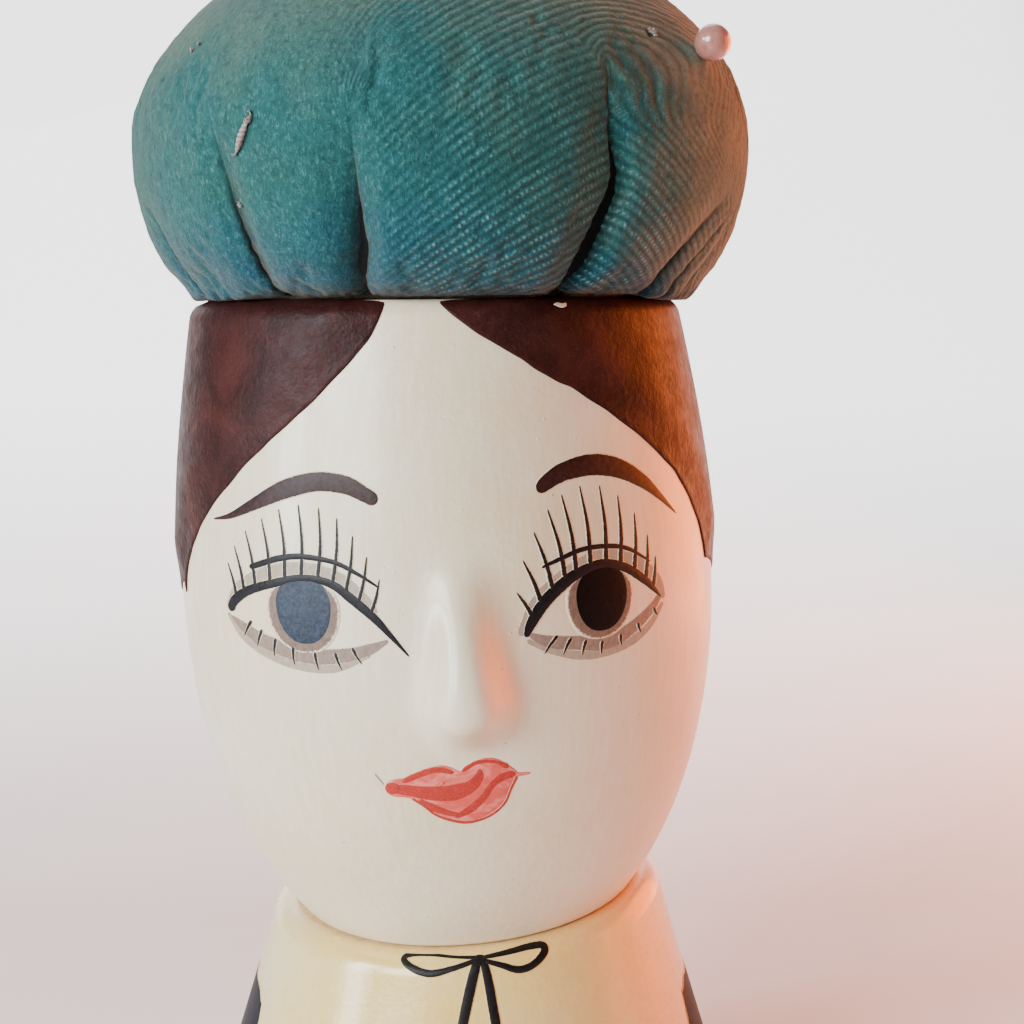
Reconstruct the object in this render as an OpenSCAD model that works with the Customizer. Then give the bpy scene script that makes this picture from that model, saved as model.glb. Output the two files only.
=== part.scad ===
// Doll-head pin cushion: a painted wooden bust, a painted wooden head that turns
// on a neck dowel, and a stuffed velour cushion seated in the flat top of the head.
// Millimetres, +Z up, the face looks along -Y. The origin is the centre of the
// bottom face, on the axis of the bust.

/* [Bust] */
// Radius of the bust at its foot
foot_r = 35; // [32:0.5:40]
// Height of the neck seat above the table
seat_z = 44.5; // [42:0.5:50]
// Radius of the bust where it meets the neck seat
seat_r = 23; // [22:0.5:25]
// Thickness of the felt under the bust
felt_t = 1.2; // [0.8:0.1:2]

/* [Head] */
// Largest radius of the head, without the hair
head_r = 32.5; // [31:0.5:35]
// Height of the widest ring of the head above the table
widest_z = 85; // [80:1:90]
// Radius of the flat top of the head, without the hair
rim_r = 28.2; // [27:0.1:30]
// Height of the rim above the table
rim_z = 118; // [112:1:124]
// How far the head leans to the viewer's left, in degrees
head_lean = 2.8; // [0:0.1:4]
// How far the neck seat dips to the viewer's left, in degrees
seat_roll = 4.5; // [0:0.1:6]
// How far the neck seat dips to the front, in degrees
seat_nod = 2.5; // [0:0.1:4]
// Open line between the bust and the head
seat_gap = 0.15; // [0.1:0.05:0.4]
// Thickness of the built-up hair
hair_t = 1; // [0.6:0.1:1.4]

/* [Neck joint] */
// Radius of the neck dowel
dowel_r = 5; // [3:0.5:6]
// Depth of the dowel in the bust, which is also how far the head lifts to come off
dowel_down = 22; // [14:1:26]
// Length of the dowel inside the head
dowel_up = 20; // [12:1:26]
// Running gap round the dowel
dowel_gap = 0.06; // [0.04:0.01:0.1]

/* [Cushion] */
// Largest radius of the cushion
cushion_r = 36.8; // [34:0.1:40]
// Height of the cushion's widest ring above the rim
cushion_mid = 20; // [16:1:24]
// Height of the cushion above the rim
cushion_h = 42; // [36:1:46]
// Thickness of the velour with its backing
cover_t = 0.8; // [0.6:0.1:1.2]
// Depth of the recess in the top of the head
recess_d = 3; // [2.6:0.1:4]
// Thickness of the card disc under the cushion
board_t = 2; // [1.5:0.1:2.4]

/* [Pearl pin] */
// Radius of the pearl
pearl_r = 2; // [1.5:0.1:2.5]
// Radius of the steel shaft
shaft_r = 0.3; // [0.25:0.01:0.35]
// Length of the shaft below the pearl
shaft_len = 36; // [28:1:38]
// Direction of the pin round the cushion, from the viewer's right, in degrees
pin_turn = -38; // [-60:1:40]
// Slope of the pin above level, in degrees
pin_rise = 43; // [35:1:50]

/* [Hidden] */
$fn = 96;

// Places of the three tilted frames: the neck seat, the head and the crown
neck_x = -0.9;
neck_y = -2;
crown_x = -3.1;
crown_tilt = 0.7;

// Straight lines in each Bezier stretch of a turned outline
steps = 14;
// Larger than the whole object, for cutting tools
far = 80;
edge_r = 2;
rim_wall = 2.8;
recess_r = rim_r - rim_wall;
board_r = recess_r - cover_t - 0.4;
gather_r = 14;
thread_r = 0.4;
fill_gap = 0.02;
felt_inset = 1;
pin_gap = 0.06;
pin_bore_r = shaft_r + pin_gap;
pearl_grip = 2.4;
// Where the pin goes in, as a share of the way from the cushion's widest ring to its top
pin_share = 0.255;
pearl_lift = pearl_r + 0.15;

// A point on a cubic Bezier curve, and a whole stretch of it
function bezier_at(p, t) =
    pow(1 - t, 3) * p[0] + 3 * pow(1 - t, 2) * t * p[1]
    + 3 * (1 - t) * pow(t, 2) * p[2] + pow(t, 3) * p[3];
function bezier(p, first = 0) = [for (i = [first:steps]) bezier_at(p, i / steps)];

// Outlines as [radius, height] above the table, grown outwards by g
function bust_side(g = 0) = bezier([
    [foot_r + g, felt_t + 1], [foot_r + g, 13],
    [seat_r + 4.3 + g, 28], [seat_r - 1 + g, seat_z + 9.5]
]);
function head_lower(g = 0) = bezier([
    [18.3 + g, seat_z - 3], [28 + g, seat_z + 7],
    [head_r + 0.4 + g, widest_z - 18], [head_r + g, widest_z]
]);
function head_upper(g = 0) = bezier([
    [head_r + g, widest_z], [head_r - 0.7 + g, widest_z + 13],
    [rim_r + 2 + g, rim_z - 10], [rim_r + g, rim_z]
], 1);
function head_side(g = 0) = concat(head_lower(g), head_upper(g), [[rim_r - 0.8 + g, rim_z + 4]]);

// The cushion's outline above the rim, shrunk by g for the layers inside it
function cushion_side(g = 0) = concat(
    bezier([
        [recess_r + 2.4 - g, 0.2 + g], [cushion_r - 1.6 - g, 0.7 + g],
        [cushion_r - g, cushion_mid - 9], [cushion_r - g, cushion_mid]
    ]),
    bezier([
        [cushion_r - g, cushion_mid], [cushion_r - g, cushion_mid + 4],
        [cushion_r - 10.6 - g, cushion_h - g], [0, cushion_h - g]
    ], 1)
);

// Moves its children from a level frame at the neck into the tilted seat frame
module in_seat() {
    translate([neck_x, neck_y, seat_z]) rotate([seat_nod, -seat_roll, 0]) children();
}

// Leans its children with the head; their heights stay heights above the table
module in_head() {
    translate([neck_x, neck_y, seat_z]) rotate([0, -head_lean, 0])
        translate([0, 0, -seat_z]) children();
}

// Puts its children in the plane of the rim, which is nearly level
module in_crown() {
    translate([crown_x, neck_y, rim_z]) rotate([0, -crown_tilt, 0]) children();
}

// The pin's frame: +Z points out of the cushion and the origin is the pearl's centre
module in_pin() {
    foot = bezier_at([
        [cushion_r, cushion_mid], [cushion_r, cushion_mid + 4],
        [cushion_r - 10.6, cushion_h], [0, cushion_h]
    ], pin_share);
    in_crown() rotate([0, 0, pin_turn])
        translate([foot[0] + pearl_lift * cos(pin_rise), 0, foot[1] + pearl_lift * sin(pin_rise)])
        rotate([0, 90 - pin_rise, 0]) children();
}

// The hole that the pin's shaft runs in
module pin_hole() {
    in_pin() translate([0, 0, -shaft_len - 1]) cylinder(h = shaft_len + 1, r = pin_bore_r, $fn = 24);
}

// Everything above a plane at z = 0 in the frame that it is called in
module above() {
    cylinder(h = far, r = far);
}

// A solid of revolution from an open outline, closed along the axis
module turned(side) {
    top = side[len(side) - 1];
    rotate_extrude() polygon(concat([[0, side[0][1]]], side, top[0] > 0 ? [[0, top[1]]] : []));
}

module bust() {
    color([0.85, 0.80, 0.70]) difference() {
        turned(concat([[foot_r - 1, felt_t]], bust_side()));
        in_seat() above();
        in_seat() translate([0, 0, -dowel_down]) cylinder(h = dowel_down + 1, r = dowel_r + dowel_gap);
    }
}

module base_felt() {
    color([0.25, 0.32, 0.28]) cylinder(h = felt_t, r = foot_r - felt_inset);
}

module neck_dowel() {
    chamfer = 0.8;
    color([0.75, 0.62, 0.42]) in_seat() rotate_extrude() polygon([
        [0, -dowel_down + 0.5], [dowel_r - chamfer, -dowel_down + 0.5],
        [dowel_r, -dowel_down + 0.5 + chamfer],
        [dowel_r, dowel_up - 0.5 - chamfer], [dowel_r - chamfer, dowel_up - 0.5], [0, dowel_up - 0.5]
    ]);
}

// The turned head before the nose and the hair are put on
module head_blank() {
    difference() {
        in_head() turned(head_side());
        in_seat() translate([0, 0, seat_gap]) mirror([0, 0, 1]) above();
        in_crown() above();
    }
}

module head() {
    color([0.84, 0.80, 0.73]) difference() {
        head_blank();
        in_crown() translate([0, 0, -recess_d]) cylinder(h = recess_d + 1, r = recess_r);
        in_seat() translate([0, 0, -1]) cylinder(h = dowel_up + 1, r = dowel_r + dowel_gap);
    }
}

// A carved wedge, glued to the front of the head
module nose() {
    color([0.83, 0.77, 0.69]) difference() {
        in_head() hull() {
            translate([0.3, -31, 90]) sphere(r = 1.6, $fn = 16);
            translate([0.2, -34, 75.5]) sphere(r = 3, $fn = 20);
            translate([-2.6, -31.5, 74.5]) sphere(r = 2, $fn = 16);
            translate([3, -31.5, 74.5]) sphere(r = 2, $fn = 16);
        }
        in_head() turned(head_side());
    }
}

// The outline of the bare face, seen from the front
module face_opening() {
    left = bezier([[-5.6, 118.5], [-7, 109], [-30.5, 100], [-31, 85]]);
    right = bezier([[30, 85], [28.5, 104], [7, 109], [0, 118.5]]);
    polygon(concat(left, [[-40, 80], [-40, 30], [40, 30], [40, 80]], right, [[0, 124], [-5.6, 124]]));
}

// Built-up hair over the top, sides and back of the head
module hair_relief() {
    color([0.25, 0.13, 0.12]) difference() {
        in_head() turned(head_side(hair_t));
        in_head() turned(head_side());
        in_crown() translate([0, 0, -edge_r]) above();
        // the bare face
        in_head() translate([0, -8, 0]) rotate([90, 0, 0]) linear_extrude(far) face_opening();
        // everything under the hairline, which falls from the temples to the nape
        in_head() translate([-far / 2, 0, 0]) rotate([90, 0, 90]) linear_extrude(far)
            polygon([[-far, 30], [-far, 91], [-12, 91], [36, 57], [far, 57], [far, 30]]);
    }
}

module cushion_board() {
    color([0.62, 0.52, 0.38]) in_crown() translate([0, 0, -recess_d + cover_t])
        cylinder(h = board_t, r = board_r);
}

// The hem thread that draws the velour together in the middle of the board
module gathering_thread() {
    color([0.20, 0.35, 0.36]) in_crown() translate([0, 0, -recess_d + thread_r])
        rotate_extrude() translate([gather_r - thread_r, 0]) circle(r = thread_r, $fn = 16);
}

// The stuffed core: flat on the board, round above
module cushion_core(g) {
    rotate_extrude() polygon(concat(
        [[0, -recess_d + cover_t + board_t], [board_r, -recess_d + cover_t + board_t], [board_r, fill_gap]],
        cushion_side(g)
    ));
}

module cushion_filling() {
    color([0.78, 0.70, 0.58]) difference() {
        in_crown() cushion_core(cover_t + fill_gap);
        pin_hole();
    }
}

// The velour skin, gathered over the board and under it
module cushion_cover() {
    color([0.25, 0.45, 0.47]) difference() {
        in_crown() rotate_extrude() polygon(concat(
            [[gather_r, -recess_d], [recess_r - 0.2, -recess_d], [recess_r - 0.2, 0.2]],
            cushion_side(),
            [for (i = [len(cushion_side()) - 1:-1:0]) cushion_side(cover_t)[i]],
            [[board_r + fill_gap, 0], [board_r + fill_gap, -recess_d + cover_t], [gather_r, -recess_d + cover_t]]
        ));
        pin_hole();
    }
}

module pin_bead() {
    color([0.85, 0.74, 0.70]) in_pin() difference() {
        sphere(r = pearl_r, $fn = 64);
        translate([0, 0, -pearl_r - 1]) cylinder(h = 1 + pearl_grip, r = shaft_r, $fn = 24);
    }
}

module pin_shaft() {
    tip = 3;
    color([0.75, 0.75, 0.76]) in_pin() rotate_extrude($fn = 24) polygon([
        [0, -shaft_len], [shaft_r, -shaft_len + tip],
        [shaft_r, pearl_grip - pearl_r], [0, pearl_grip - pearl_r]
    ]);
}

bust();
base_felt();
neck_dowel();
head();
nose();
hair_relief();
cushion_board();
gathering_thread();
cushion_filling();
cushion_cover();
pin_bead();
pin_shaft();
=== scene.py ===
"""Doll-head pin cushion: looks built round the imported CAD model.

Lengths are millimetres until mesh_piece() scales them to metres; only the lights and the floor are
given in metres. The face looks along -Y. Three tilted frames repeat the CAD model's: the neck seat,
the head and the crown.
"""

import math

import bpy
import numpy as np
from mathutils import Matrix, Vector


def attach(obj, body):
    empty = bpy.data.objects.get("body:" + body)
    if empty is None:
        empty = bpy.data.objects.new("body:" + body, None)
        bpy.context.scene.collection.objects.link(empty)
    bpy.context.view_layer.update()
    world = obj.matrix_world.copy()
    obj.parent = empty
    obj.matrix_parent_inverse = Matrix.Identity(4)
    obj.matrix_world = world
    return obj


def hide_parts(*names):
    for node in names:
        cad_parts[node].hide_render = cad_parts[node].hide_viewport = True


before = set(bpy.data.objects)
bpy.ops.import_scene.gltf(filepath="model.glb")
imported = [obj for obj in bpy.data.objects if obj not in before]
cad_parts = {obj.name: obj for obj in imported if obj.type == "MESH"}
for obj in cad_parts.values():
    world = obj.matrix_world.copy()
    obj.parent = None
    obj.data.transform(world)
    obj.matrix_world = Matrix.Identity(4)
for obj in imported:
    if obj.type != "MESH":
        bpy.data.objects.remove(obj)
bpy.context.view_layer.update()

MM = 0.001

# ---- sizes, repeated from the CAD model ------------------------------------------------------
FELT_T = 1.2
FOOT_R = 35.0
SEAT_Z = 44.5
SEAT_R = 23.0
NECK_X, NECK_Y = -0.9, -2.0
SEAT_ROLL, SEAT_NOD = 4.5, 2.5
HEAD_LEAN = 2.8
HEAD_R, WIDEST_Z = 32.5, 85.0
RIM_R, RIM_Z = 28.2, 118.0
CROWN_X, CROWN_TILT = -3.1, 0.7
HAIR_T = 1.0
BORE_R = 5.06
DOWEL_DOWN, DOWEL_UP = 22.0, 20.0
RECESS_R, RECESS_D = 25.4, 3.0
CUSHION_R, CUSHION_MID, CUSHION_H = 36.8, 20.0, 42.0
RIB_PITCH, STITCH_PITCH, RIB_ANGLE = 0.93, 0.62, 38.0
STITCH_STAGGER = 0.6


# ---- frames ----------------------------------------------------------------------------------
def turn(axis, degrees):
    return Matrix.Rotation(math.radians(degrees), 4, axis)


def place(x, y, z):
    return Matrix.Translation((x, y, z))


SEAT = place(NECK_X, NECK_Y, SEAT_Z) @ turn("Y", -SEAT_ROLL) @ turn("X", SEAT_NOD)
HEAD = place(NECK_X, NECK_Y, SEAT_Z) @ turn("Y", -HEAD_LEAN) @ place(0, 0, -SEAT_Z)
CROWN = place(CROWN_X, NECK_Y, RIM_Z) @ turn("Y", -CROWN_TILT)
LEVEL = Matrix.Identity(4)


def moved(matrix, points):
    """Points, an array whose last axis is x, y, z, taken through a 4x4 matrix."""
    m = np.array(matrix)
    return np.asarray(points, float) @ m[:3, :3].T + m[:3, 3]


def bezier(p, count):
    """count + 1 points along a cubic Bezier curve."""
    t = np.linspace(0, 1, count + 1)[:, None]
    p = np.array(p, float)
    return (1 - t) ** 3 * p[0] + 3 * (1 - t) ** 2 * t * p[1] + 3 * (1 - t) * t**2 * p[2] + t**3 * p[3]


def smooth(x):
    x = np.clip(x, 0, 1)
    return x * x * (3 - 2 * x)


def catmull(points, count):
    """A smooth curve of count samples through every point; points hold any number of columns."""
    p = np.array(points, float)
    p = np.vstack([2 * p[0] - p[1], p, 2 * p[-1] - p[-2]])
    t = np.linspace(0, len(p) - 3 - 1e-9, count)
    i = t.astype(int)
    f = (t - i)[:, None]
    a, b, c, d = p[i], p[i + 1], p[i + 2], p[i + 3]
    return 0.5 * (2 * b + (c - a) * f + (2 * a - 5 * b + 4 * c - d) * f**2
                  + (3 * b - a - 3 * c + d) * f**3)


# ---- smooth seeded noise for shapes ----------------------------------------------------------
def hashed(i, j, k):
    h = np.sin(i * 127.1 + j * 311.7 + k * 74.7) * 43758.5453
    return h - np.floor(h)


def value_noise(points, size):
    """Smooth noise from -1 to 1 whose lumps are about size across."""
    p = np.asarray(points, float) / size
    base = np.floor(p)
    f = smooth(p - base)
    total = np.zeros(p.shape[:-1])
    for corner in np.ndindex(2, 2, 2):
        c = np.array(corner)
        weight = np.prod(np.where(c, f, 1 - f), axis=-1)
        cell = base + c
        total += weight * hashed(cell[..., 0], cell[..., 1], cell[..., 2])
    return 2 * total - 1


# ---- meshes ----------------------------------------------------------------------------------
def mesh_piece(name, points, faces, materials, face_slots=None, sharp=None, body="head", ink=None):
    """A mesh object from millimetre points, smooth shaded, riding on a body."""
    mesh = bpy.data.meshes.new(name)
    mesh.from_pydata((np.asarray(points) * MM).tolist(), [], faces)
    for m in materials:
        mesh.materials.append(m)
    if face_slots is not None:
        mesh.polygons.foreach_set("material_index", np.asarray(face_slots, np.int32))
    mesh.polygons.foreach_set("use_smooth", np.ones(len(faces), bool))
    if sharp is not None:
        mesh.set_sharp_from_angle(angle=math.radians(sharp))
    if ink is not None:
        layer = mesh.attributes.new("ink", "FLOAT", "POINT")
        layer.data.foreach_set("value", np.asarray(ink, np.float32))
    mesh.update()
    obj = bpy.data.objects.new(name, mesh)
    bpy.context.scene.collection.objects.link(obj)
    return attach(obj, body)


def grid_faces(rows, columns, closed):
    """Quads between rows of a grid; closed joins the last column to the first."""
    r = np.arange(rows - 1)[:, None]
    c = np.arange(columns if closed else columns - 1)[None, :]
    n = (c + 1) % columns
    quads = np.stack([r * columns + c, r * columns + n, (r + 1) * columns + n, (r + 1) * columns + c], -1)
    return quads.reshape(-1, 4).tolist()


def capped_grid(rows):
    """Points and faces of a ring grid (rows, columns, 3), closed to a point at its first and last row."""
    count, columns, _ = rows.shape
    faces = grid_faces(count, columns, True)
    points = rows.reshape(-1, 3)
    first, last = len(points), len(points) + 1
    points = np.vstack([points, rows[0].mean(0), rows[-1].mean(0)])
    for c in range(columns):
        n = (c + 1) % columns
        faces.append([first, n, c])
        end = (count - 1) * columns
        faces.append([last, end + c, end + n])
    return points, faces


def cap_slots(row_slots, columns):
    """Material slots for capped_grid's faces, from one slot per band between rows."""
    bands = np.repeat(row_slots, columns)
    caps = np.tile([row_slots[0], row_slots[-1]], columns)
    return np.concatenate([bands, caps])


def joined(parts):
    """Several (points, faces) as one list of points and one of faces."""
    points, faces, start = [], [], 0
    for p, f in parts:
        points.append(p)
        faces += [[i + start for i in face] for face in f]
        start += len(p)
    return np.vstack(points), faces


def nearest(points, target):
    """Row and column of the grid point nearest to a target."""
    away = np.linalg.norm(points - target, axis=-1)
    return np.unravel_index(np.argmin(away), away.shape)


# ---- materials -------------------------------------------------------------------------------
class Tree:
    """A material's node tree, with short calls for the nodes that the finishes share."""

    def __init__(self, name):
        self.material = bpy.data.materials.new(name)
        self.material.use_nodes = True
        self.nodes = self.material.node_tree.nodes
        self.links = self.material.node_tree.links
        self.shader = self.nodes["Principled BSDF"]
        coords = self.nodes.new("ShaderNodeTexCoord")
        self.mm = self.vector("SCALE", coords.outputs["Object"], scale=1 / MM)

    def put(self, socket, value):
        """Sets a socket to a value, or links it to another socket."""
        if isinstance(value, bpy.types.NodeSocket):
            self.links.new(value, socket)
        else:
            socket.default_value = value

    def vector(self, operation, a, b=None, scale=None, output=0):
        n = self.nodes.new("ShaderNodeVectorMath")
        n.operation = operation
        self.put(n.inputs[0], a)
        if b is not None:
            self.put(n.inputs[1], b)
        if scale is not None:
            n.inputs["Scale"].default_value = scale
        return n.outputs[output]

    def math(self, operation, a, b=0.0, clamp=False):
        n = self.nodes.new("ShaderNodeMath")
        n.operation = operation
        n.use_clamp = clamp
        self.put(n.inputs[0], a)
        self.put(n.inputs[1], b)
        return n.outputs[0]

    def times(self, a, b):
        return self.math("MULTIPLY", a, b)

    def noise(self, scale, detail=3.0, rough=0.5, stretch=None, distort=0.0):
        """Noise from 0 to 1; scale is lumps per millimetre and stretch scales x, y and z first."""
        n = self.nodes.new("ShaderNodeTexNoise")
        source = self.vector("MULTIPLY", self.mm, stretch) if stretch else self.mm
        self.put(n.inputs["Vector"], source)
        n.inputs["Scale"].default_value = scale
        n.inputs["Detail"].default_value = detail
        n.inputs["Roughness"].default_value = rough
        n.inputs["Distortion"].default_value = distort
        return n.outputs["Fac"]

    def cells(self, scale):
        """Distance to the nearest of scattered points; scale is points per millimetre."""
        n = self.nodes.new("ShaderNodeTexVoronoi")
        self.put(n.inputs["Vector"], self.mm)
        n.inputs["Scale"].default_value = scale
        return n.outputs["Distance"]

    def span(self, value, low, high, to_low=0.0, to_high=1.0):
        n = self.nodes.new("ShaderNodeMapRange")
        self.put(n.inputs["Value"], value)
        for key, v in zip(("From Min", "From Max", "To Min", "To Max"), (low, high, to_low, to_high)):
            n.inputs[key].default_value = v
        return n.outputs["Result"]

    def mix(self, factor, a, b):
        n = self.nodes.new("ShaderNodeMix")
        n.data_type = "RGBA"
        self.put(n.inputs["Factor"], factor)
        self.put(n.inputs[6], a)
        self.put(n.inputs[7], b)
        return n.outputs[2]

    def between(self, value, dark, light):
        """Two display colours, the first where value is below 0.3 and the second above 0.7."""
        return self.mix(self.span(value, 0.3, 0.7), srgb(*dark), srgb(*light))

    def attribute(self, name, output="Fac"):
        n = self.nodes.new("ShaderNodeAttribute")
        n.attribute_name = name
        return n.outputs[output]

    def dot(self, a, b):
        return self.vector("DOT_PRODUCT", a, b, output="Value")

    def strayed(self, value, scale, detail, reach):
        """A place in millimetres, moved to and fro by as much as reach, so that its edge wavers."""
        return self.math("ADD", value, self.span(self.noise(scale, detail), 0.3, 0.7, -reach, reach))

    def wave(self, turns):
        """1 at whole numbers of turns and 0 half way between them."""
        return self.span(self.math("COSINE", self.times(turns, 2 * math.pi)), -1, 1)

    def axis(self, vector, which):
        n = self.nodes.new("ShaderNodeSeparateXYZ")
        self.put(n.inputs[0], vector)
        return n.outputs[which]

    def bump(self, height, depth, under=None):
        """A bump of that depth in millimetres where height runs from 0 to 1."""
        n = self.nodes.new("ShaderNodeBump")
        n.inputs["Strength"].default_value = 1.0
        n.inputs["Distance"].default_value = depth * MM
        self.put(n.inputs["Height"], height)
        if under is not None:
            self.put(n.inputs["Normal"], under)
        return n.outputs["Normal"]

    def finish(self, **values):
        """Sets the shader's sockets by name, with spaces written as underscores."""
        for key, value in values.items():
            self.put(self.shader.inputs[key.replace("_", " ")], value)
        return self.material


def srgb(r, g, b):
    """A display colour, 0 to 255, as the linear colour that shaders take."""
    def channel(v):
        v = v / 255
        return v / 12.92 if v <= 0.04045 else ((v + 0.055) / 1.055) ** 2.4
    return (channel(r), channel(g), channel(b), 1.0)


CREAM = srgb(224, 210, 180)
CREAM_AGED = srgb(212, 192, 152)
CREAM_PALE = srgb(230, 226, 214)
BUST_CREAM = srgb(226, 190, 98)
DIRT = srgb(96, 78, 58)


def enamel_colour(t, base, pale=CREAM_PALE):
    """Aged cream enamel: broad yellowing, faint brush drag, pale rubs and dark specks in pits."""
    broad = t.noise(0.035, 3, 0.55)
    colour = t.mix(t.span(broad, 0.35, 0.72), base, CREAM_AGED)
    drag = t.noise(0.9, 4, 0.6, stretch=(1.6, 1.6, 0.12))
    colour = t.mix(t.span(drag, 0.42, 0.75, 0, 0.35), colour, pale)
    pits = t.cells(0.33)
    rare = t.span(t.noise(0.21, 1), 0.5, 0.6)
    speck = t.times(t.span(pits, 0.045, 0.02), rare)
    return t.mix(t.times(speck, 0.75), colour, DIRT)


def enamel_bump(t):
    """Brush drag, orange peel, dust nibs under the paint and small open pits."""
    drag = t.noise(1.1, 4, 0.6, stretch=(1.5, 1.5, 0.10))
    normal = t.bump(drag, 0.012)
    peel = t.noise(1.3, 3, 0.55)
    normal = t.bump(peel, 0.05, under=normal)
    nibs = t.times(t.span(t.cells(0.42), 0.10, 0.0), t.span(t.noise(0.13, 1), 0.48, 0.6))
    normal = t.bump(nibs, 0.11, under=normal)
    return t.bump(t.span(t.cells(0.33), 0.02, 0.05), 0.04, under=normal)


def make_enamel(name, base, roughness, coat, pale=CREAM_PALE):
    t = Tree(name)
    rough = t.span(t.noise(0.25, 4, 0.6), 0.3, 0.75, roughness - 0.06, roughness + 0.10)
    return t.finish(Base_Color=enamel_colour(t, base, pale), Roughness=rough, Normal=enamel_bump(t),
                    Coat_Weight=coat, Coat_Roughness=0.16, Specular_IOR_Level=0.45)


def make_brushed_dark(name, dark, light, roughness=0.32):
    """Dark enamel over a pebbly ground: soft blotches, dust, and a skin that breaks up highlights."""
    t = Tree(name)
    blotch = t.noise(0.16, 5, 0.6, distort=0.6)
    colour = t.mix(t.span(blotch, 0.38, 0.68), dark, light)
    dust = t.span(t.noise(4.2, 3, 0.7), 0.58, 0.76, 0, 0.4)
    colour = t.mix(dust, colour, srgb(104, 70, 60))
    drag = t.noise(1.0, 4, 0.6, stretch=(1.2, 1.2, 0.4), distort=0.5)
    normal = t.bump(drag, 0.03)
    normal = t.bump(t.noise(1.35, 3, 0.6), 0.13, under=normal)
    rough = t.span(t.noise(0.6, 4, 0.6), 0.3, 0.75, roughness - 0.08, roughness + 0.14)
    return t.finish(Base_Color=colour, Roughness=rough, Normal=normal, Specular_IOR_Level=0.12)


def make_ink(name, dark, light, cover=1.0, grain=0.6, base=CREAM, shine=0.22):
    """Thin artist's paint on the enamel: it breaks up towards its edges, where ink falls to 0."""
    t = Tree(name)
    ink = t.attribute("ink")
    streak = t.noise(grain * 3, 4, 0.65)
    paint = t.mix(t.span(streak, 0.35, 0.7), dark, light)
    ragged = t.math("ADD", ink, t.span(t.noise(5.0, 3, 0.6), 0.3, 0.7, -0.25, 0.25))
    amount = t.times(t.span(ragged, 0.3, 0.55), cover)
    under = enamel_colour(t, base)
    return t.finish(Base_Color=t.mix(amount, under, paint), Roughness=0.45, Normal=enamel_bump(t),
                    Specular_IOR_Level=shine)


def make_bare_wood(name):
    t = Tree(name)
    rings = t.noise(0.55, 5, 0.6, stretch=(1.0, 1.0, 0.07), distort=0.6)
    pores = t.span(t.noise(4.0, 2, 0.5, stretch=(1, 1, 0.08)), 0.62, 0.75)
    colour = t.between(rings, (196, 158, 108), (222, 190, 142))
    colour = t.mix(t.times(pores, 0.5), colour, srgb(128, 88, 52))
    normal = t.bump(t.math("SUBTRACT", rings, pores), 0.03)
    return t.finish(Base_Color=colour, Roughness=0.62, Normal=normal)


def make_felt(name):
    t = Tree(name)
    fibres = t.noise(2.2, 6, 0.75, distort=1.2)
    colour = t.between(fibres, (46, 62, 52), (92, 110, 96))
    lint = t.span(t.noise(5.5, 2, 0.6, distort=2.0), 0.68, 0.76, 0, 0.5)
    colour = t.mix(lint, colour, srgb(170, 172, 160))
    return t.finish(Base_Color=colour, Roughness=0.95, Normal=t.bump(fibres, 0.25),
                    Sheen_Weight=0.5, Sheen_Roughness=0.5, Specular_IOR_Level=0.2)


def make_card(name):
    t = Tree(name)
    pulp = t.noise(1.5, 6, 0.7)
    colour = t.between(pulp, (150, 126, 92), (178, 156, 120))
    return t.finish(Base_Color=colour, Roughness=0.9, Normal=t.bump(pulp, 0.03))


def make_thread(name, light):
    t = Tree(name)
    twist = t.noise(4.0, 3, 0.6, distort=1.0)
    colour = t.mix(twist, srgb(30, 70, 74), light)
    return t.finish(Base_Color=colour, Roughness=0.7, Normal=t.bump(twist, 0.05), Sheen_Weight=0.4)


def make_lint(name):
    t = Tree(name)
    twist = t.noise(3.2, 4, 0.7, distort=1.2)
    colour = t.between(twist, (112, 98, 92), (172, 158, 150))
    return t.finish(Base_Color=colour, Roughness=0.95, Normal=t.bump(twist, 0.08), Sheen_Weight=0.3)


def make_filling(name):
    t = Tree(name)
    wool = t.noise(1.2, 6, 0.75, distort=1.5)
    colour = t.between(wool, (196, 178, 146), (228, 216, 190))
    return t.finish(Base_Color=colour, Roughness=0.95, Normal=t.bump(wool, 0.4), Sheen_Weight=0.4)


def make_pearl(name):
    t = Tree(name)
    skin = t.noise(0.9, 4, 0.55)
    colour = t.between(skin, (190, 144, 134), (164, 116, 104))
    colour = t.mix(t.span(t.noise(0.5, 2), 0.35, 0.65, 0, 0.7), colour, srgb(158, 88, 76))
    worn = t.span(t.noise(2.0, 3, 0.6), 0.66, 0.74, 0, 0.4)
    colour = t.mix(worn, colour, srgb(140, 104, 88))
    rough = t.span(t.noise(2.2, 3), 0.3, 0.8, 0.16, 0.34)
    return t.finish(Base_Color=colour, Roughness=rough, Normal=t.bump(skin, 0.02),
                    Coat_Weight=0.8, Coat_Roughness=0.08,
                    Subsurface_Weight=0.15, Subsurface_Scale=0.001)


def make_steel(name):
    t = Tree(name)
    draw = t.noise(6.0, 3, 0.5, stretch=(1, 1, 0.2))
    rough = t.span(draw, 0.3, 0.7, 0.18, 0.34)
    colour = t.mix(draw, srgb(196, 192, 186), srgb(222, 220, 216))
    return t.finish(Base_Color=colour, Metallic=1.0, Roughness=rough, Normal=t.bump(draw, 0.01))


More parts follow.
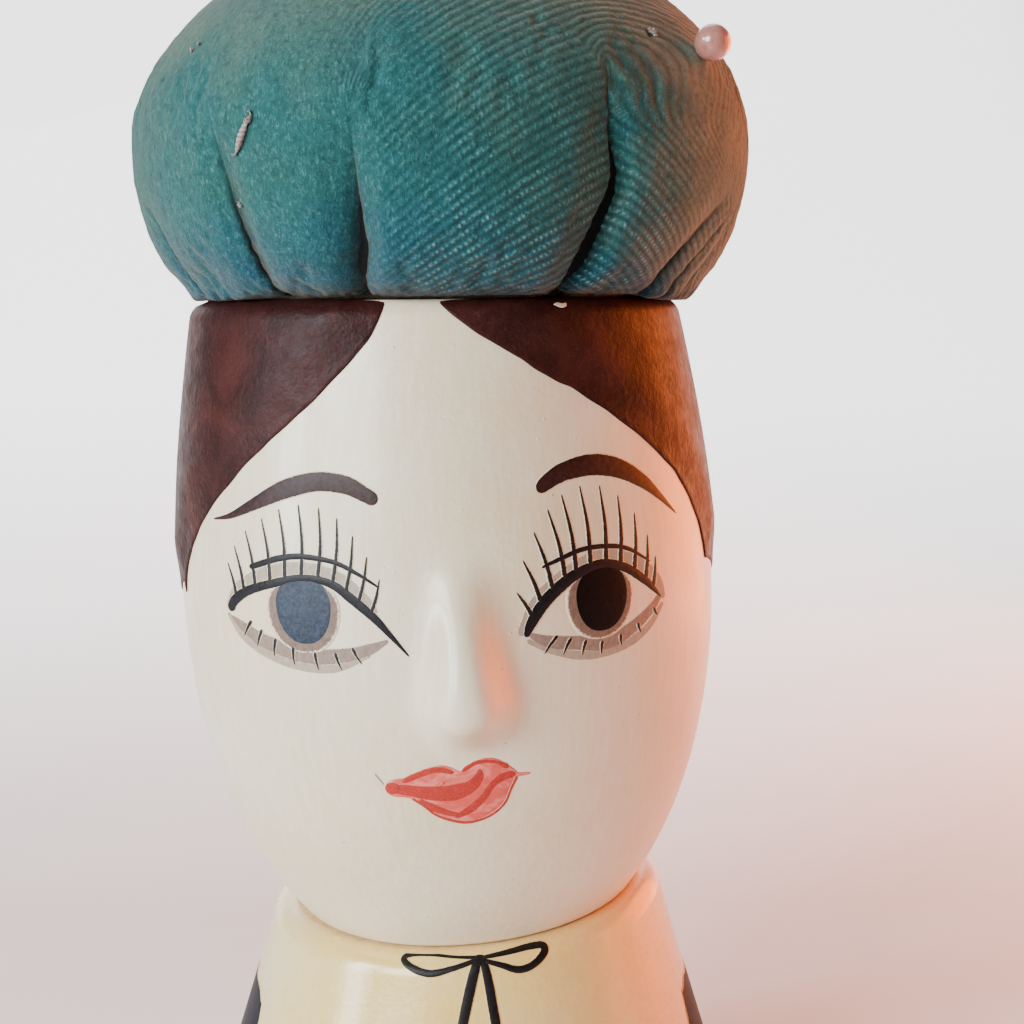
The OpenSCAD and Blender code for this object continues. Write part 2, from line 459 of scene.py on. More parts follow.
def make_lip_paint(name):
    """Red-orange wash dragged in curved strokes, with thin pink places where the enamel shows."""
    t = Tree(name)
    sweep = t.noise(0.28, 3, 0.6, stretch=(0.55, 1.0, 1.5), distort=1.4)
    fine = t.noise(2.6, 4, 0.7, stretch=(0.6, 1, 1.2), distort=0.6)
    thin = t.math("ADD", t.span(sweep, 0.46, 0.60, 0, 0.62), t.span(fine, 0.35, 0.72, -0.16, 0.22),
                  clamp=True)
    paint = t.mix(thin, srgb(202, 66, 54), srgb(222, 130, 116))
    edge = t.span(t.attribute("ink"), 0.0, 0.9)
    colour = t.mix(t.span(edge, 0.15, 0.5), srgb(196, 84, 70), paint)
    return t.finish(Base_Color=colour, Roughness=0.38, Normal=t.bump(fine, 0.015, under=enamel_bump(t)),
                    Coat_Weight=0.15, Coat_Roughness=0.2)


TEAL, TEAL_GREEN = srgb(22, 80, 84), srgb(34, 80, 73)
HEM_BLUE, FADED = srgb(14, 66, 86), srgb(84, 104, 86)
# the second is the pile's own dark tone, and also the colour of painted shade in the rib grooves and along
# the bottom edge
PILE_LIGHT, PILE_DARK_AND_SHADE = srgb(92, 146, 144), srgb(4, 34, 40)
# colours of the painted highlights on the stitches and of the painted shade in the folds
STITCH_HIGHLIGHT, FOLD_SHADE = srgb(120, 168, 170), srgb(1, 4, 5)
# grey-brown for painted warm light, with some dust, on the +X side of the cushion
WARM_LIGHT_AND_DUST_BROWN = srgb(152, 146, 122)


def velour_weave(t, flat, x):
    """How much of a rib, of a stitch and of unworn cloth there is at each point."""
    a = math.radians(RIB_ANGLE)
    across = t.math("DIVIDE", t.dot(flat, (-math.sin(a), math.cos(a), 0)), RIB_PITCH)
    along = t.math("DIVIDE", t.dot(flat, (math.cos(a), math.sin(a), 0)), STITCH_PITCH)
    along = t.math("ADD", along, t.times(t.math("ROUND", across), STITCH_STAGGER))
    strayed = t.strayed(x, 0.12, 3, 5)
    unworn = t.times(t.span(strayed, -15, -4, 0.12, 1), t.span(strayed, 31, 21, 0.15, 1))
    patchy = t.span(t.noise(0.30, 4, 0.65), 0.36, 0.62, 0.35, 1)
    rib = t.times(t.wave(across), t.times(unworn, patchy))
    return rib, t.wave(along), unworn


def teal_dye_and_warm_light(t, x, height):
    """The dye: bluer at the hem, which never faded, and faded at the top; towards +X it turns grey-brown,
    painted warm light from that side with some dust.
    """
    colour = t.mix(t.span(t.noise(0.055, 4, 0.6), 0.32, 0.68), TEAL, TEAL_GREEN)
    low = t.span(t.strayed(height, 0.25, 3, 2.5), 10, 0.5)
    colour = t.mix(t.times(low, 0.8), colour, HEM_BLUE)
    high = t.span(t.strayed(height, 0.09, 3, 8), 20, 40, 0, 0.75)
    colour = t.mix(high, colour, FADED)
    # painted warm light with some dust: browner towards +X, the side of the warm lamps
    warm_light_and_dust = t.span(t.strayed(x, 0.10, 4, 7), 16, 36, 0, 0.62)
    return t.mix(warm_light_and_dust, colour, WARM_LIGHT_AND_DUST_BROWN)


def make_velour(name):
    """Teal ribbed velour: stitched ribs under a matted pile, with painted shade in the rib grooves, along
    the hem and in the folds, and painted highlights on the stitches.
    """
    t = Tree(name)
    flat = t.attribute("flat", "Vector")
    height = t.axis(flat, 2)
    x = t.axis(t.mm, 0)
    rib, stitch, unworn = velour_weave(t, flat, x)
    pile = t.noise(1.5, 5, 0.72, distort=0.5)
    hairs = t.noise(3.6, 3, 0.7, stretch=(1, 1, 0.45), distort=0.8)
    dust = t.times(t.span(hairs, 0.5, 0.7), t.span(pile, 0.3, 0.7, 0.25, 1))
    colour = t.mix(t.times(dust, 0.6), teal_dye_and_warm_light(t, x, height), PILE_LIGHT)
    shade = t.times(t.span(pile, 0.52, 0.3), 0.6)
    colour = t.mix(shade, colour, PILE_DARK_AND_SHADE)
    # painted shade in the grooves between the ribs, where the rib wave is low
    groove_shade = t.times(t.span(rib, 0.45, 0.0), unworn)
    colour = t.mix(t.times(groove_shade, 0.5), colour, PILE_DARK_AND_SHADE)
    # painted highlights on the stitches along the tops of the ribs, stronger low down
    stitch_highlights = t.times(t.span(rib, 0.50, 0.95), t.span(stitch, 0.25, 0.9))
    stitch_highlights = t.times(stitch_highlights, t.span(hairs, 0.36, 0.6, 0.2, 1))
    highlight_zone = t.span(height, 20, 3, 0.14, 0.75)
    colour = t.mix(t.times(stitch_highlights, highlight_zone), colour, STITCH_HIGHLIGHT)
    # painted shade: darker over the lowest 1.6 mm, where the cushion meets the rim
    colour = t.mix(t.span(height, 1.6, 0.2, 0, 0.6), colour, PILE_DARK_AND_SHADE)
    # painted shade: near black deep in each fold, and on the inside and the tucked hem
    colour = t.mix(t.span(t.attribute("fold"), 0.12, 0.75, 0, 0.97), colour, FOLD_SHADE)
    normal = t.bump(pile, 0.16)
    normal = t.bump(hairs, 0.10, under=normal)
    normal = t.bump(t.times(rib, t.span(stitch, 0, 1, 0.7, 1)), 0.11, under=normal)
    return t.finish(Base_Color=colour, Roughness=0.9, Normal=normal, Specular_IOR_Level=0.15,
                    Sheen_Weight=0.34, Sheen_Roughness=0.4, Sheen_Tint=srgb(214, 186, 160))


LIP_PAINT = make_lip_paint("lip_paint")
FACE_PAINT = make_enamel("face_enamel", CREAM, 0.35, 0.25)
BUST_PAINT = make_enamel("bust_enamel", BUST_CREAM, 0.24, 0.5, srgb(232, 208, 146))
HAIR_PAINT = make_brushed_dark("hair_enamel", srgb(38, 14, 12), srgb(60, 27, 23), 0.46)
BARE_WOOD = make_bare_wood("bare_wood")
FELT = make_felt("green_felt")
CARD = make_card("card")
VELOUR = make_velour("teal_velour")
THREAD = make_thread("hem_thread", srgb(70, 120, 122))
LINT_WOOL = make_lint("lint_wool")
FILLING = make_filling("wool_filling")
PEARL = make_pearl("pearl")
STEEL = make_steel("nickel_steel")
BROW_INK = make_ink("brow_ink", srgb(26, 10, 9), srgb(56, 28, 25))
LINE_INK = make_ink("line_ink", srgb(6, 5, 8), srgb(20, 16, 22))
LASH_INK = make_ink("lash_ink", srgb(10, 8, 10), srgb(34, 27, 29))
IRIS_INK = make_ink("iris_ink", srgb(3, 3, 4), srgb(10, 8, 11), shine=0.1)
# slate blue for the left iris: a painted reflection of the window over black iris paint
IRIS_REFLECTION_INK = make_ink("iris_reflection_ink", srgb(12, 18, 28), srgb(38, 54, 74), grain=0.9, shine=0.3)
RING_INK = make_ink("ring_ink", srgb(78, 54, 48), srgb(112, 86, 76), cover=0.92)
SHADE_INK = make_ink("shade_ink", srgb(88, 64, 60), srgb(124, 98, 90), cover=0.85)
PALE_INK = make_ink("pale_ink", srgb(108, 90, 80), srgb(140, 122, 108), cover=0.72)
BOW_INK = make_ink("bow_ink", srgb(8, 6, 6), srgb(24, 18, 18), base=BUST_CREAM)
DRESS_PAINT = make_ink("dress_paint", srgb(20, 23, 30), srgb(34, 37, 44), base=BUST_CREAM, shine=0.05)
LIP_RED = make_ink("lip_red", srgb(146, 8, 6), srgb(180, 34, 28), cover=0.95, grain=1.2,
                   base=srgb(220, 132, 116))
DASH_INK = make_ink("dash_ink", srgb(110, 106, 104), srgb(150, 146, 140))


# ---- the head --------------------------------------------------------------------------------
HEAD_SIDE = np.vstack([
    bezier([(18.3, SEAT_Z - 3), (28, SEAT_Z + 7), (HEAD_R + 0.4, WIDEST_Z - 18), (HEAD_R, WIDEST_Z)], 80),
    bezier([(HEAD_R, WIDEST_Z), (HEAD_R - 0.7, WIDEST_Z + 13), (RIM_R + 2, RIM_Z - 10),
            (RIM_R, RIM_Z)], 60)[1:],
    [(RIM_R - 0.8, RIM_Z + 4)],
])
NOSE_TOP, NOSE_TIP, NOSE_UNDER = 93.0, 75.4, 3.9
NOSE_REACH = 5.4
NOSE_X, NOSE_FULLER = 0.15, 1.2
WAVER, WAVER_SIZE = 0.10, 11


def turned_point(r, angle, z):
    """A point at a radius and a height, at an angle from the front towards +X."""
    return np.stack([r * np.sin(angle), -r * np.cos(angle), z + 0 * angle], -1)


def head_radius(z):
    return np.interp(z, HEAD_SIDE[:, 1], HEAD_SIDE[:, 0])


def relief(x, z):
    """How far the carved nose stands out of the turned head, at x across and height z."""
    height = NOSE_REACH * smooth((NOSE_TOP - z) / (NOSE_TOP - NOSE_TIP))
    width = np.interp(z, [NOSE_TIP, 80, 84, NOSE_TOP], [3.6, 3.0, 2.7, 2.5])
    power = np.interp(z, [NOSE_TIP, 84], [3.0, 2.2])
    below = np.clip(NOSE_TIP - z, 0, None) / NOSE_UNDER
    across = x - NOSE_X
    width = width * np.where(across > 0, NOSE_FULLER, 1)
    away = np.sqrt((across / width) ** 2 + below**2)
    return height * np.exp(-away**power)


def head_point(angle, z, lift=0.0):
    """A point on the head at an angle from the front (towards +X) and a height, in the head's frame."""
    r = head_radius(z)
    out = np.where(np.cos(angle) > 0, relief(r * np.sin(angle), z), 0)
    waver = WAVER * value_noise(turned_point(r, angle, z), WAVER_SIZE)
    return turned_point(r + out + waver + lift, angle, z)


def on_face(x, z, lift=0.0):
    """The world point of the painted face at x across and height z, as seen from the front."""
    x, z = np.asarray(x, float), np.asarray(z, float)
    angle = np.arcsin(np.clip(x / head_radius(z), -0.999, 0.999))
    return moved(HEAD, head_point(angle, z, lift))


def plane_height(matrix, angle, start):
    """Height in the head's frame where its side meets the local z = 0 plane of matrix."""
    inverse = matrix.inverted() @ HEAD
    z = np.full(len(angle), float(start))
    for _ in range(6):
        z = z - moved(inverse, turned_point(head_radius(z), angle, z))[:, 2]
    return z


def ring(matrix, radius, z, angle):
    """A circle in a frame, at the angles from the front."""
    return moved(matrix, turned_point(radius, angle, z))


def blend_rows(a, b, shares):
    return [a * (1 - s) + b * s for s in shares]


EDGE_R, CHIN_EDGE = 2.0, 0.5
RIM_BAND = 0.3
HEAD_COLUMNS, HEAD_ROWS = 480, 190


def edge_inset(distance, radius):
    """How far a rounded edge falls back at a distance from the face that it meets."""
    d = np.clip(radius - distance, 0, radius)
    return radius - np.sqrt(np.clip(radius**2 - d**2, 0, None))


def side_rows(angle, low, high, count, top_edge, bottom_edge):
    """Rows up the head's side, closer together near the rounded ends."""
    share = 0.5 - 0.5 * np.cos(np.linspace(0, np.pi, count))
    share = 0.55 * share + 0.45 * np.linspace(0, 1, count)
    rows = []
    for s in share:
        z = low + (high - low) * s
        inset = edge_inset(high - z, top_edge) + edge_inset(z - low, bottom_edge)
        rows.append(moved(HEAD, head_point(angle, z, -inset)))
    return rows


def side_slots(side, high):
    """Slots of the bands up the head's side: face paint, and hair paint on the rim's edge."""
    centres = moved(HEAD.inverted(), [row.mean(0) for row in side[:-1]])
    return [2 if np.mean(high) - z < RIM_BAND else 0 for z in centres[:, 2]]


def build_head():
    angle = np.linspace(0, 2 * np.pi, HEAD_COLUMNS, endpoint=False)
    low = plane_height(SEAT, angle, SEAT_Z)
    high = plane_height(CROWN, angle, RIM_Z)
    side = side_rows(angle, low, high, HEAD_ROWS, EDGE_R, CHIN_EDGE)
    bore_mouth = ring(SEAT, BORE_R, 0, angle)
    bore = [ring(SEAT, BORE_R * s, DOWEL_UP, angle) for s in (0.02, 1)] + [bore_mouth]
    under = blend_rows(bore_mouth, side[0], (0.03, 0.5, 0.97))
    rim = ring(CROWN, RECESS_R, 0, angle)
    top = blend_rows(side[-1], rim, (0.25, 0.9))
    recess = [rim, ring(CROWN, RECESS_R, -RECESS_D, angle), ring(CROWN, 0.3, -RECESS_D, angle)]
    rows = np.array(bore + under + side + top + recess)
    slots = [1] * len(bore + under) + side_slots(side, high) + [2] * len(top) + [1] * len(recess)
    points, faces = capped_grid(rows)
    head = mesh_piece("painted_head", points, faces, [FACE_PAINT, BARE_WOOD, HAIR_PAINT],
                      cap_slots(slots, HEAD_COLUMNS), sharp=50)
    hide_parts("head", "nose")


# ---- the bust --------------------------------------------------------------------------------
BUST_SIDE = bezier([(FOOT_R, FELT_T + 1), (FOOT_R, 13), (SEAT_R + 4.3, 28), (SEAT_R - 1, SEAT_Z + 9.5)],
                   120)
SEAT_EDGE, FOOT_EDGE = 2.2, 1.0
SEEN_FROM_ABOVE, LEAST_DEPTH = 0.42, 0.2
BUST_COLUMNS, BUST_ROWS = 360, 90


def bust_radius(z):
    return np.interp(z, BUST_SIDE[:, 1], BUST_SIDE[:, 0])


def bust_point(angle, z, lift=0.0):
    p = turned_point(bust_radius(z) + lift, angle, z)
    return p * (1 + 0.0025 * value_noise(p, 14)[..., None] * np.array([1, 1, 0]))


def seat_height(angle):
    """Height of the neck seat at the bust's edge."""
    inverse = SEAT.inverted()
    z = np.full(len(angle), SEAT_Z)
    for _ in range(6):
        z = z - moved(inverse, bust_point(angle, z))[:, 2]
    return z


def on_bust(x, z, lift=0.0):
    """The world point of the bust that shows at x across and height z from the front.

    The neck's rounded edge falls back, so from a little above it shows higher than it is.
    """
    x, z = np.asarray(x, float), np.asarray(z, float)
    angle = np.arcsin(np.clip(x / bust_radius(z), -0.999, 0.999))
    high = seat_height(angle.ravel()).reshape(angle.shape)
    depth = np.linspace(LEAST_DEPTH, SEAT_EDGE, 40)
    shows = SEEN_FROM_ABOVE * edge_inset(depth, SEAT_EDGE) - depth
    rounded = high - np.interp(z - high, shows[::-1], depth[::-1])
    z = np.where(high - z < SEAT_EDGE, rounded, z)
    return bust_point(angle, z, lift - edge_inset(high - z, SEAT_EDGE))


def build_bust():
    angle = np.linspace(0, 2 * np.pi, BUST_COLUMNS, endpoint=False)
    low, high = FELT_T + FOOT_EDGE, seat_height(angle)
    rows = [ring(LEVEL, r, FELT_T, angle) for r in (0.3, 20, FOOT_R - 1.2)]
    rows += [ring(LEVEL, FOOT_R + FOOT_EDGE * (math.sin(a) - 1), low - FOOT_EDGE * math.cos(a), angle)
             for a in np.radians([20, 45, 70])]
    for s in 1 - (1 - np.linspace(0, 1, BUST_ROWS)) ** 1.4:
        z = low + (high - low) * s
        rows.append(bust_point(angle, z, -edge_inset(high - z, SEAT_EDGE)))
    painted_to = len(rows) - 1
    mouth = ring(SEAT, BORE_R, 0, angle)
    rows += blend_rows(rows[-1], mouth, (0.04, 0.5, 0.97))
    rows += [mouth, ring(SEAT, BORE_R, -DOWEL_DOWN, angle), ring(SEAT, 0.2, -DOWEL_DOWN, angle)]
    slots = [1, 1] + [0] * (painted_to - 2) + [1] * (len(rows) - 1 - painted_to)
    points, faces = capped_grid(np.array(rows))
    bust = mesh_piece("painted_bust", points, faces, [BUST_PAINT, BARE_WOOD],
                      cap_slots(slots, BUST_COLUMNS), sharp=50, body="bust")
    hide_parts("bust")


# ---- hair ------------------------------------------------------------------------------------
HAIR_COLUMNS, HAIR_ROWS = 520, 90
HAIR_SOFT, HAIR_SLOPE = 0.5, 6.0
RIM_GAP, HAIR_THIN = 0.15, 0.02
PART_LEFT, PART_RIGHT = -5.6, -1.1


def hair_edge():
    """Angles and heights of the hair's lower edge, from the parting round the back to the parting."""
    left = bezier([(PART_LEFT, 118.5), (-7, 109), (-30.5, 100), (-31, 85)], 90)
    right = bezier([(PART_RIGHT, 118.5), (7, 109), (28.5, 104), (30, 86)], 90)

    def angles(line):
        return np.arcsin(np.clip(line[:, 0] / head_radius(line[:, 1]), -1, 1))

    right_end, left_end = angles(right)[-1], angles(left)[-1] + 2 * np.pi
    back = np.linspace(0, 1, 120)[1:-1]
    back_angle = right_end + (left_end - right_end) * back
    nape = np.sin(np.pi * back) ** 1.4
    back_z = 86 - 28 * nape + 1.2 * np.sin(back * 9)
    angle = np.concatenate([angles(right), back_angle, angles(left)[::-1] + 2 * np.pi])
    z = np.concatenate([right[:, 1], back_z, left[::-1, 1]])
    return angle, z


def build_hair():
    """A thick coat over the skull: full height away from its edge, rounded down at the edge."""
    edge_angle, edge_z = hair_edge()
    along = np.concatenate([[0], np.cumsum(np.hypot(np.diff(edge_angle) * HEAD_R, np.diff(edge_z)))])
    step = np.linspace(0, along[-1], HAIR_COLUMNS)
    angle = np.interp(step, along, edge_angle)
    low = np.interp(step, along, edge_z)
    high = plane_height(CROWN, angle, RIM_Z) - RIM_GAP
    low = np.minimum(low, high - HAIR_THIN)
    wobble = 0.18 * value_noise(np.stack([angle * HEAD_R, low, low * 0], -1), 2.2)
    low = np.minimum(low + wobble, high - HAIR_THIN)
    outer = []
    for s in np.linspace(0, 1, HAIR_ROWS) ** 1.5:
        z = low + (high - low) * s
        near = np.minimum(z - low, np.abs(edge_distance(angle, z, edge_angle, edge_z)))
        rise = np.sqrt(np.clip(1 - (1 - np.clip(near / HAIR_SOFT, 0, 1)) ** 2, 0, 1))
        rise = rise * (0.22 + 0.78 * smooth(near / HAIR_SLOPE))
        daubs = 0.03 * value_noise(np.stack([angle * HEAD_R, z * 0.7, z * 0], -1), 3.5)
        lift = 0.03 + (HAIR_T - 0.1 + daubs) * rise - edge_inset(high - z, EDGE_R)
        outer.append(head_point(angle, z, lift))
    inner = [head_point(angle, low + (high - low) * s, -0.3 - edge_inset((high - low) * (1 - s), EDGE_R))
             for s in (1, 0.97, 0.9, 0.5, 0)]
    loop = np.array(outer + inner).transpose(1, 0, 2)
    points, faces = capped_grid(moved(HEAD, loop))
    hair = mesh_piece("painted_hair", points, faces, [HAIR_PAINT], sharp=70)
    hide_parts("hair_relief")


def edge_distance(angle, z, edge_angle, edge_z):
    """Distance over the head from points to the hair's edge."""
    a = np.stack([angle * HEAD_R, z], -1)[:, None]
    b = np.stack([edge_angle * HEAD_R, edge_z], -1)[None]
    return np.sqrt(((a - b) ** 2).sum(-1)).min(1)


# ---- painted lines and patches ---------------------------------------------------------------
ACROSS = np.array([-1, -0.8, -0.45, 0, 0.45, 0.8, 1])
UNDER, SUNK = -0.06, 0.05
STROKE_STEP = 0.22


def stroke(points, surface, lift, softness=0.25):
    """One brush stroke as a closed film on a surface; points are (x, z, width)."""
    p = np.array(points, float)
    length = np.hypot(np.diff(p[:, 0]), np.diff(p[:, 1])).sum()
    count = int(np.clip(length / STROKE_STEP, 8, 160))
    p = catmull(p, count)
    along = np.gradient(p[:, :2], axis=0)
    along /= np.maximum(np.hypot(along[:, 0], along[:, 1]), 1e-9)[:, None]
    side = np.stack([-along[:, 1], along[:, 0]], -1)
    half = np.maximum(p[:, 2], 0.02)[:, None] / 2
    start = np.hypot(p[:, 0] - p[0, 0], p[:, 1] - p[0, 1])[:, None]
    end = np.hypot(p[:, 0] - p[-1, 0], p[:, 1] - p[-1, 1])[:, None]
    for near in (start, end):
        share = np.clip((near + 0.02) / np.maximum(half, 0.05), 0, 1)
        half = half * np.sqrt(np.clip(1 - (1 - share) ** 2, 0.01, 1))
    x = p[:, 0:1] + side[:, 0:1] * half * ACROSS
    z = p[:, 1:2] + side[:, 1:2] * half * ACROSS
    top = surface(x, z, lift * (0.35 + 0.65 * (1 - ACROSS**2)))
    bottom = surface(x[:, ::-1], z[:, ::-1], UNDER)
    ink_top = np.clip((1 - np.abs(ACROSS)) / softness, 0, 1) * np.ones((count, 1))
    loop = np.concatenate([top, bottom], 1)
    ink = np.concatenate([ink_top, np.ones_like(ink_top)], 1).ravel()
    points, faces = capped_grid(loop)
    return points, faces, np.concatenate([ink, [1, 1]])


def patch(outline, surface, lift, softness=0.15, centre=None, rings=14, sides=120):
    """A filled shape as a closed film; outline is a closed list of (x, z) round its centre."""
    o = np.array(list(outline) + [outline[0]], float)
    o = catmull(o, sides + 1)[:-1]
    c = np.array(centre if centre is not None else o.mean(0))

    def loop(share, height):
        x, z = (c + (o - c) * share).T
        return surface(x, z, height)

    shares = np.linspace(0.02, 1, rings) ** 0.8
    rows = [loop(s, lift * min(1, 0.3 + (1 - s) / 0.15)) for s in shares]
    rows += [loop(s, UNDER) for s in (1, 0.5, 0.02)]
    ink = [np.full(sides, min(1, (1 - s) / softness)) for s in shares] + [np.ones(sides)] * 3
    points, faces = capped_grid(np.array(rows))
    return points, faces, np.concatenate(ink + [[1, 1]])


def painted(name, films, material, body="head"):
    """Several strokes or patches of one paint as one piece."""
    points, faces = joined([film[:2] for film in films])
    ink = np.concatenate([film[2] for film in films])
    obj = mesh_piece(name, points, faces, [material], body=body, ink=ink)


def on_hair(x, z, lift=0.0):
    """The world point of the hair's outer skin at x across and height z, near the rim."""
    angle = np.arcsin(x / head_radius(z))
    high = plane_height(CROWN, angle, RIM_Z) - RIM_GAP
    return on_face(x, z, lift + HAIR_T - SUNK - edge_inset(high - z, EDGE_R))


def build_chip():
    """A small chip in the hair enamel at the rim, down to the cream ground."""
    outline = [(11.9, 116.75), (12.4, 116.95), (12.9, 116.8), (13.4, 116.85), (13.2, 116.5),
               (12.7, 116.35), (12.3, 116.5)]
    painted("rim_chip", [patch(outline, on_hair, 0.05, 0.1, rings=5, sides=28)], FACE_PAINT)


OUTLINE_POINTS, LASH_STEPS = 24, 200


def ellipse(x, z, half_w, up, down, squareness=2.0):
    """An egg outline with its own reach up and down."""
    a = np.linspace(0, 2 * np.pi, OUTLINE_POINTS, endpoint=False)
    c, s = np.cos(a), np.sin(a)
    power = 2 / squareness
    return [(x + half_w * np.sign(ci) * abs(ci) ** power, z + (up if si > 0 else down) * si)
            for ci, si in zip(c, s)]


def lashes(lid, count, lengths, angles, width, first=0.03, last=0.97):
    """Straight lashes from a curve; lengths and angles are functions of the share along it."""
    base = catmull(lid, LASH_STEPS)
    hairs = []
    for s in np.linspace(first, last, count):
        b = base[int(s * (LASH_STEPS - 1))]
        share = (s - first) / (last - first)
        a = math.radians(angles(share))
        reach = lengths(share)
        tip = (b[0] + reach * math.sin(a), b[1] + reach * math.cos(a))
        middle = ((b[0] + tip[0]) / 2 + 0.03 * reach, (b[1] + tip[1]) / 2)
        line = [(b[0], b[1], width), (*middle, width * 0.72), (*tip, width * 0.3)]
        hairs.append(stroke(line, on_face, 0.09, softness=0.6))
    return hairs


LEFT_LID = [(-24.7, 84.9, 1.0), (-24.0, 86.2, 1.15), (-22.2, 87.5, 1.1), (-19.3, 88.5, 1.0),
            (-16.2, 89.2, 0.9), (-13.2, 88.7, 1.0), (-10.9, 87.0, 1.15), (-8.7, 85.0, 1.0),
            (-7.0, 83.0, 0.6), (-5.3, 80.9, 0.2)]
RIGHT_LID = [(7.1, 82.1, 0.7), (7.8, 83.6, 1.3), (9.3, 85.6, 1.5), (11.4, 87.3, 1.5), (13.4, 88.3, 1.3),
             (16.0, 88.8, 1.2), (18.6, 88.0, 1.1), (20.8, 86.3, 1.0), (22.2, 84.8, 0.6),
             (22.9, 83.9, 0.2)]
LEFT_CREASE = [(-22.0, 90.0, 0.7), (-20.4, 90.6, 0.75), (-18.6, 91.2, 0.75), (-16.2, 91.5, 0.7),
               (-12.8, 91.0, 0.6), (-10.2, 89.7, 0.45), (-8.1, 88.3, 0.25)]
RIGHT_CREASE = [(9.2, 89.3, 0.35), (11.3, 90.0, 0.55), (13.9, 90.7, 0.6), (16.9, 90.6, 0.6),
                (19.2, 89.9, 0.5), (21.7, 88.1, 0.25)]
LEFT_BROW = [(-26.2, 94.8, 0.2), (-24.0, 95.4, 0.7), (-21.4, 96.7, 1.3), (-17.7, 98.5, 2.1),
             (-14.2, 99.4, 2.2), (-11.1, 99.1, 2.1), (-9.1, 98.1, 1.75), (-7.7, 97.2, 1.5)]
RIGHT_BROW = [(9.2, 97.3, 1.4), (10.3, 98.2, 1.8), (12.2, 99.1, 2.2), (15.1, 99.5, 2.5), (18.1, 98.9, 2.3),
              (21.0, 97.2, 1.7), (23.2, 95.2, 0.9), (25.6, 92.6, 0.15)]
LEFT_BAND = [(-24.6, 84.3, 0.4), (-23.0, 83.2, 1.3), (-20.6, 81.9, 1.8), (-16.2, 80.8, 2.0),
             (-12.0, 81.0, 1.7), (-9.4, 81.7, 1.3), (-7.4, 82.6, 0.4)]
RIGHT_BAND = [(7.4, 82.4, 0.5), (9.5, 81.3, 1.5), (12.8, 80.7, 1.7), (16.2, 80.2, 1.9), (19.3, 81.3, 1.6),
              (21.6, 82.8, 1.2), (22.9, 84.2, 0.7)]
LEFT_PALE = [(-25.0, 84.6, 0.5), (-22.9, 81.9, 1.0), (-18.6, 79.9, 1.1), (-13.6, 79.5, 1.1),
             (-9.4, 81.0, 0.4)]
RIGHT_PALE = [(7.2, 81.7, 0.6), (10.2, 80.2, 1.0), (13.8, 79.2, 1.2), (18.2, 79.5, 1.2), (21.2, 80.9, 1.0),
              (23.2, 83.2, 0.6)]
LEFT_OVER = [(-25.0, 85.2, 0.6), (-23.4, 87.7, 1.3), (-20.2, 89.5, 1.5), (-16.4, 90.2, 1.6),
             (-12.4, 89.4, 1.3), (-9.4, 86.9, 0.9), (-8.4, 85.6, 0.3)]
RIGHT_OVER = [(6.5, 82.3, 1.0), (8.2, 85.8, 1.0), (11.4, 88.2, 1.3), (15.6, 89.7, 1.5), (19.6, 88.6, 1.5),
              (22.4, 86.0, 1.3), (23.3, 83.6, 0.7)]
LIPS = [(-8.8, 66.1), (-8.4, 66.8), (-7.6, 67.1), (-6.6, 67.3), (-5.3, 67.9), (-3.1, 68.6),
        (-1.7, 68.4), (-0.5, 67.8), (0.5, 68.4),
        (1.7, 69.1), (3.2, 69.0), (4.5, 68.2), (5.6, 67.1), (5.5, 66.5), (4.7, 65.4), (3.9, 63.5),
        (2.2, 62.1), (0.2, 61.4), (-1.5, 61.8), (-3.4, 62.6), (-4.7, 63.9), (-5.5, 64.5), (-6.6, 64.9),
        (-7.7, 65.0), (-8.5, 65.4)]
LIP_STROKES = [
    [(-8.2, 66.0, 1.4), (-6.4, 65.8, 1.7), (-4.2, 65.4, 2.2), (-1.6, 65.3, 2.6), (0.4, 65.9, 2.0),
     (1.4, 67.0, 1.4), (1.5, 67.9, 0.6)],
    [(5.3, 67.0, 1.0), (3.9, 66.7, 1.2), (2.7, 65.8, 1.0), (1.8, 64.5, 1.1), (0.3, 63.2, 1.2),
     (-1.4, 62.3, 0.7)],
    [(-6.8, 66.8, 0.8), (-5.0, 67.6, 0.9), (-3.1, 68.1, 0.9), (-1.3, 67.7, 0.7)],
    [(-0.4, 67.8, 0.6), (1.3, 68.7, 0.6), (3.2, 68.6, 0.5), (4.6, 67.8, 0.8)],
    [(-5.2, 64.6, 0.8), (-3.6, 63.6, 1.1), (-1.8, 62.8, 0.9), (-0.4, 62.6, 0.5)],
    [(5.5, 66.6, 0.4), (4.8, 65.2, 0.35), (4.0, 63.5, 0.35), (2.4, 62.2, 0.35), (0.2, 61.6, 0.4),
     (-1.6, 61.9, 0.4), (-3.4, 62.7, 0.35), (-4.7, 63.9, 0.35), (-5.9, 64.8, 0.35)],
]


def strokes(lines, lift, softness):
    """Strokes on the face, all with the same lift and softness."""
    return [stroke(line, on_face, lift, softness) for line in lines]


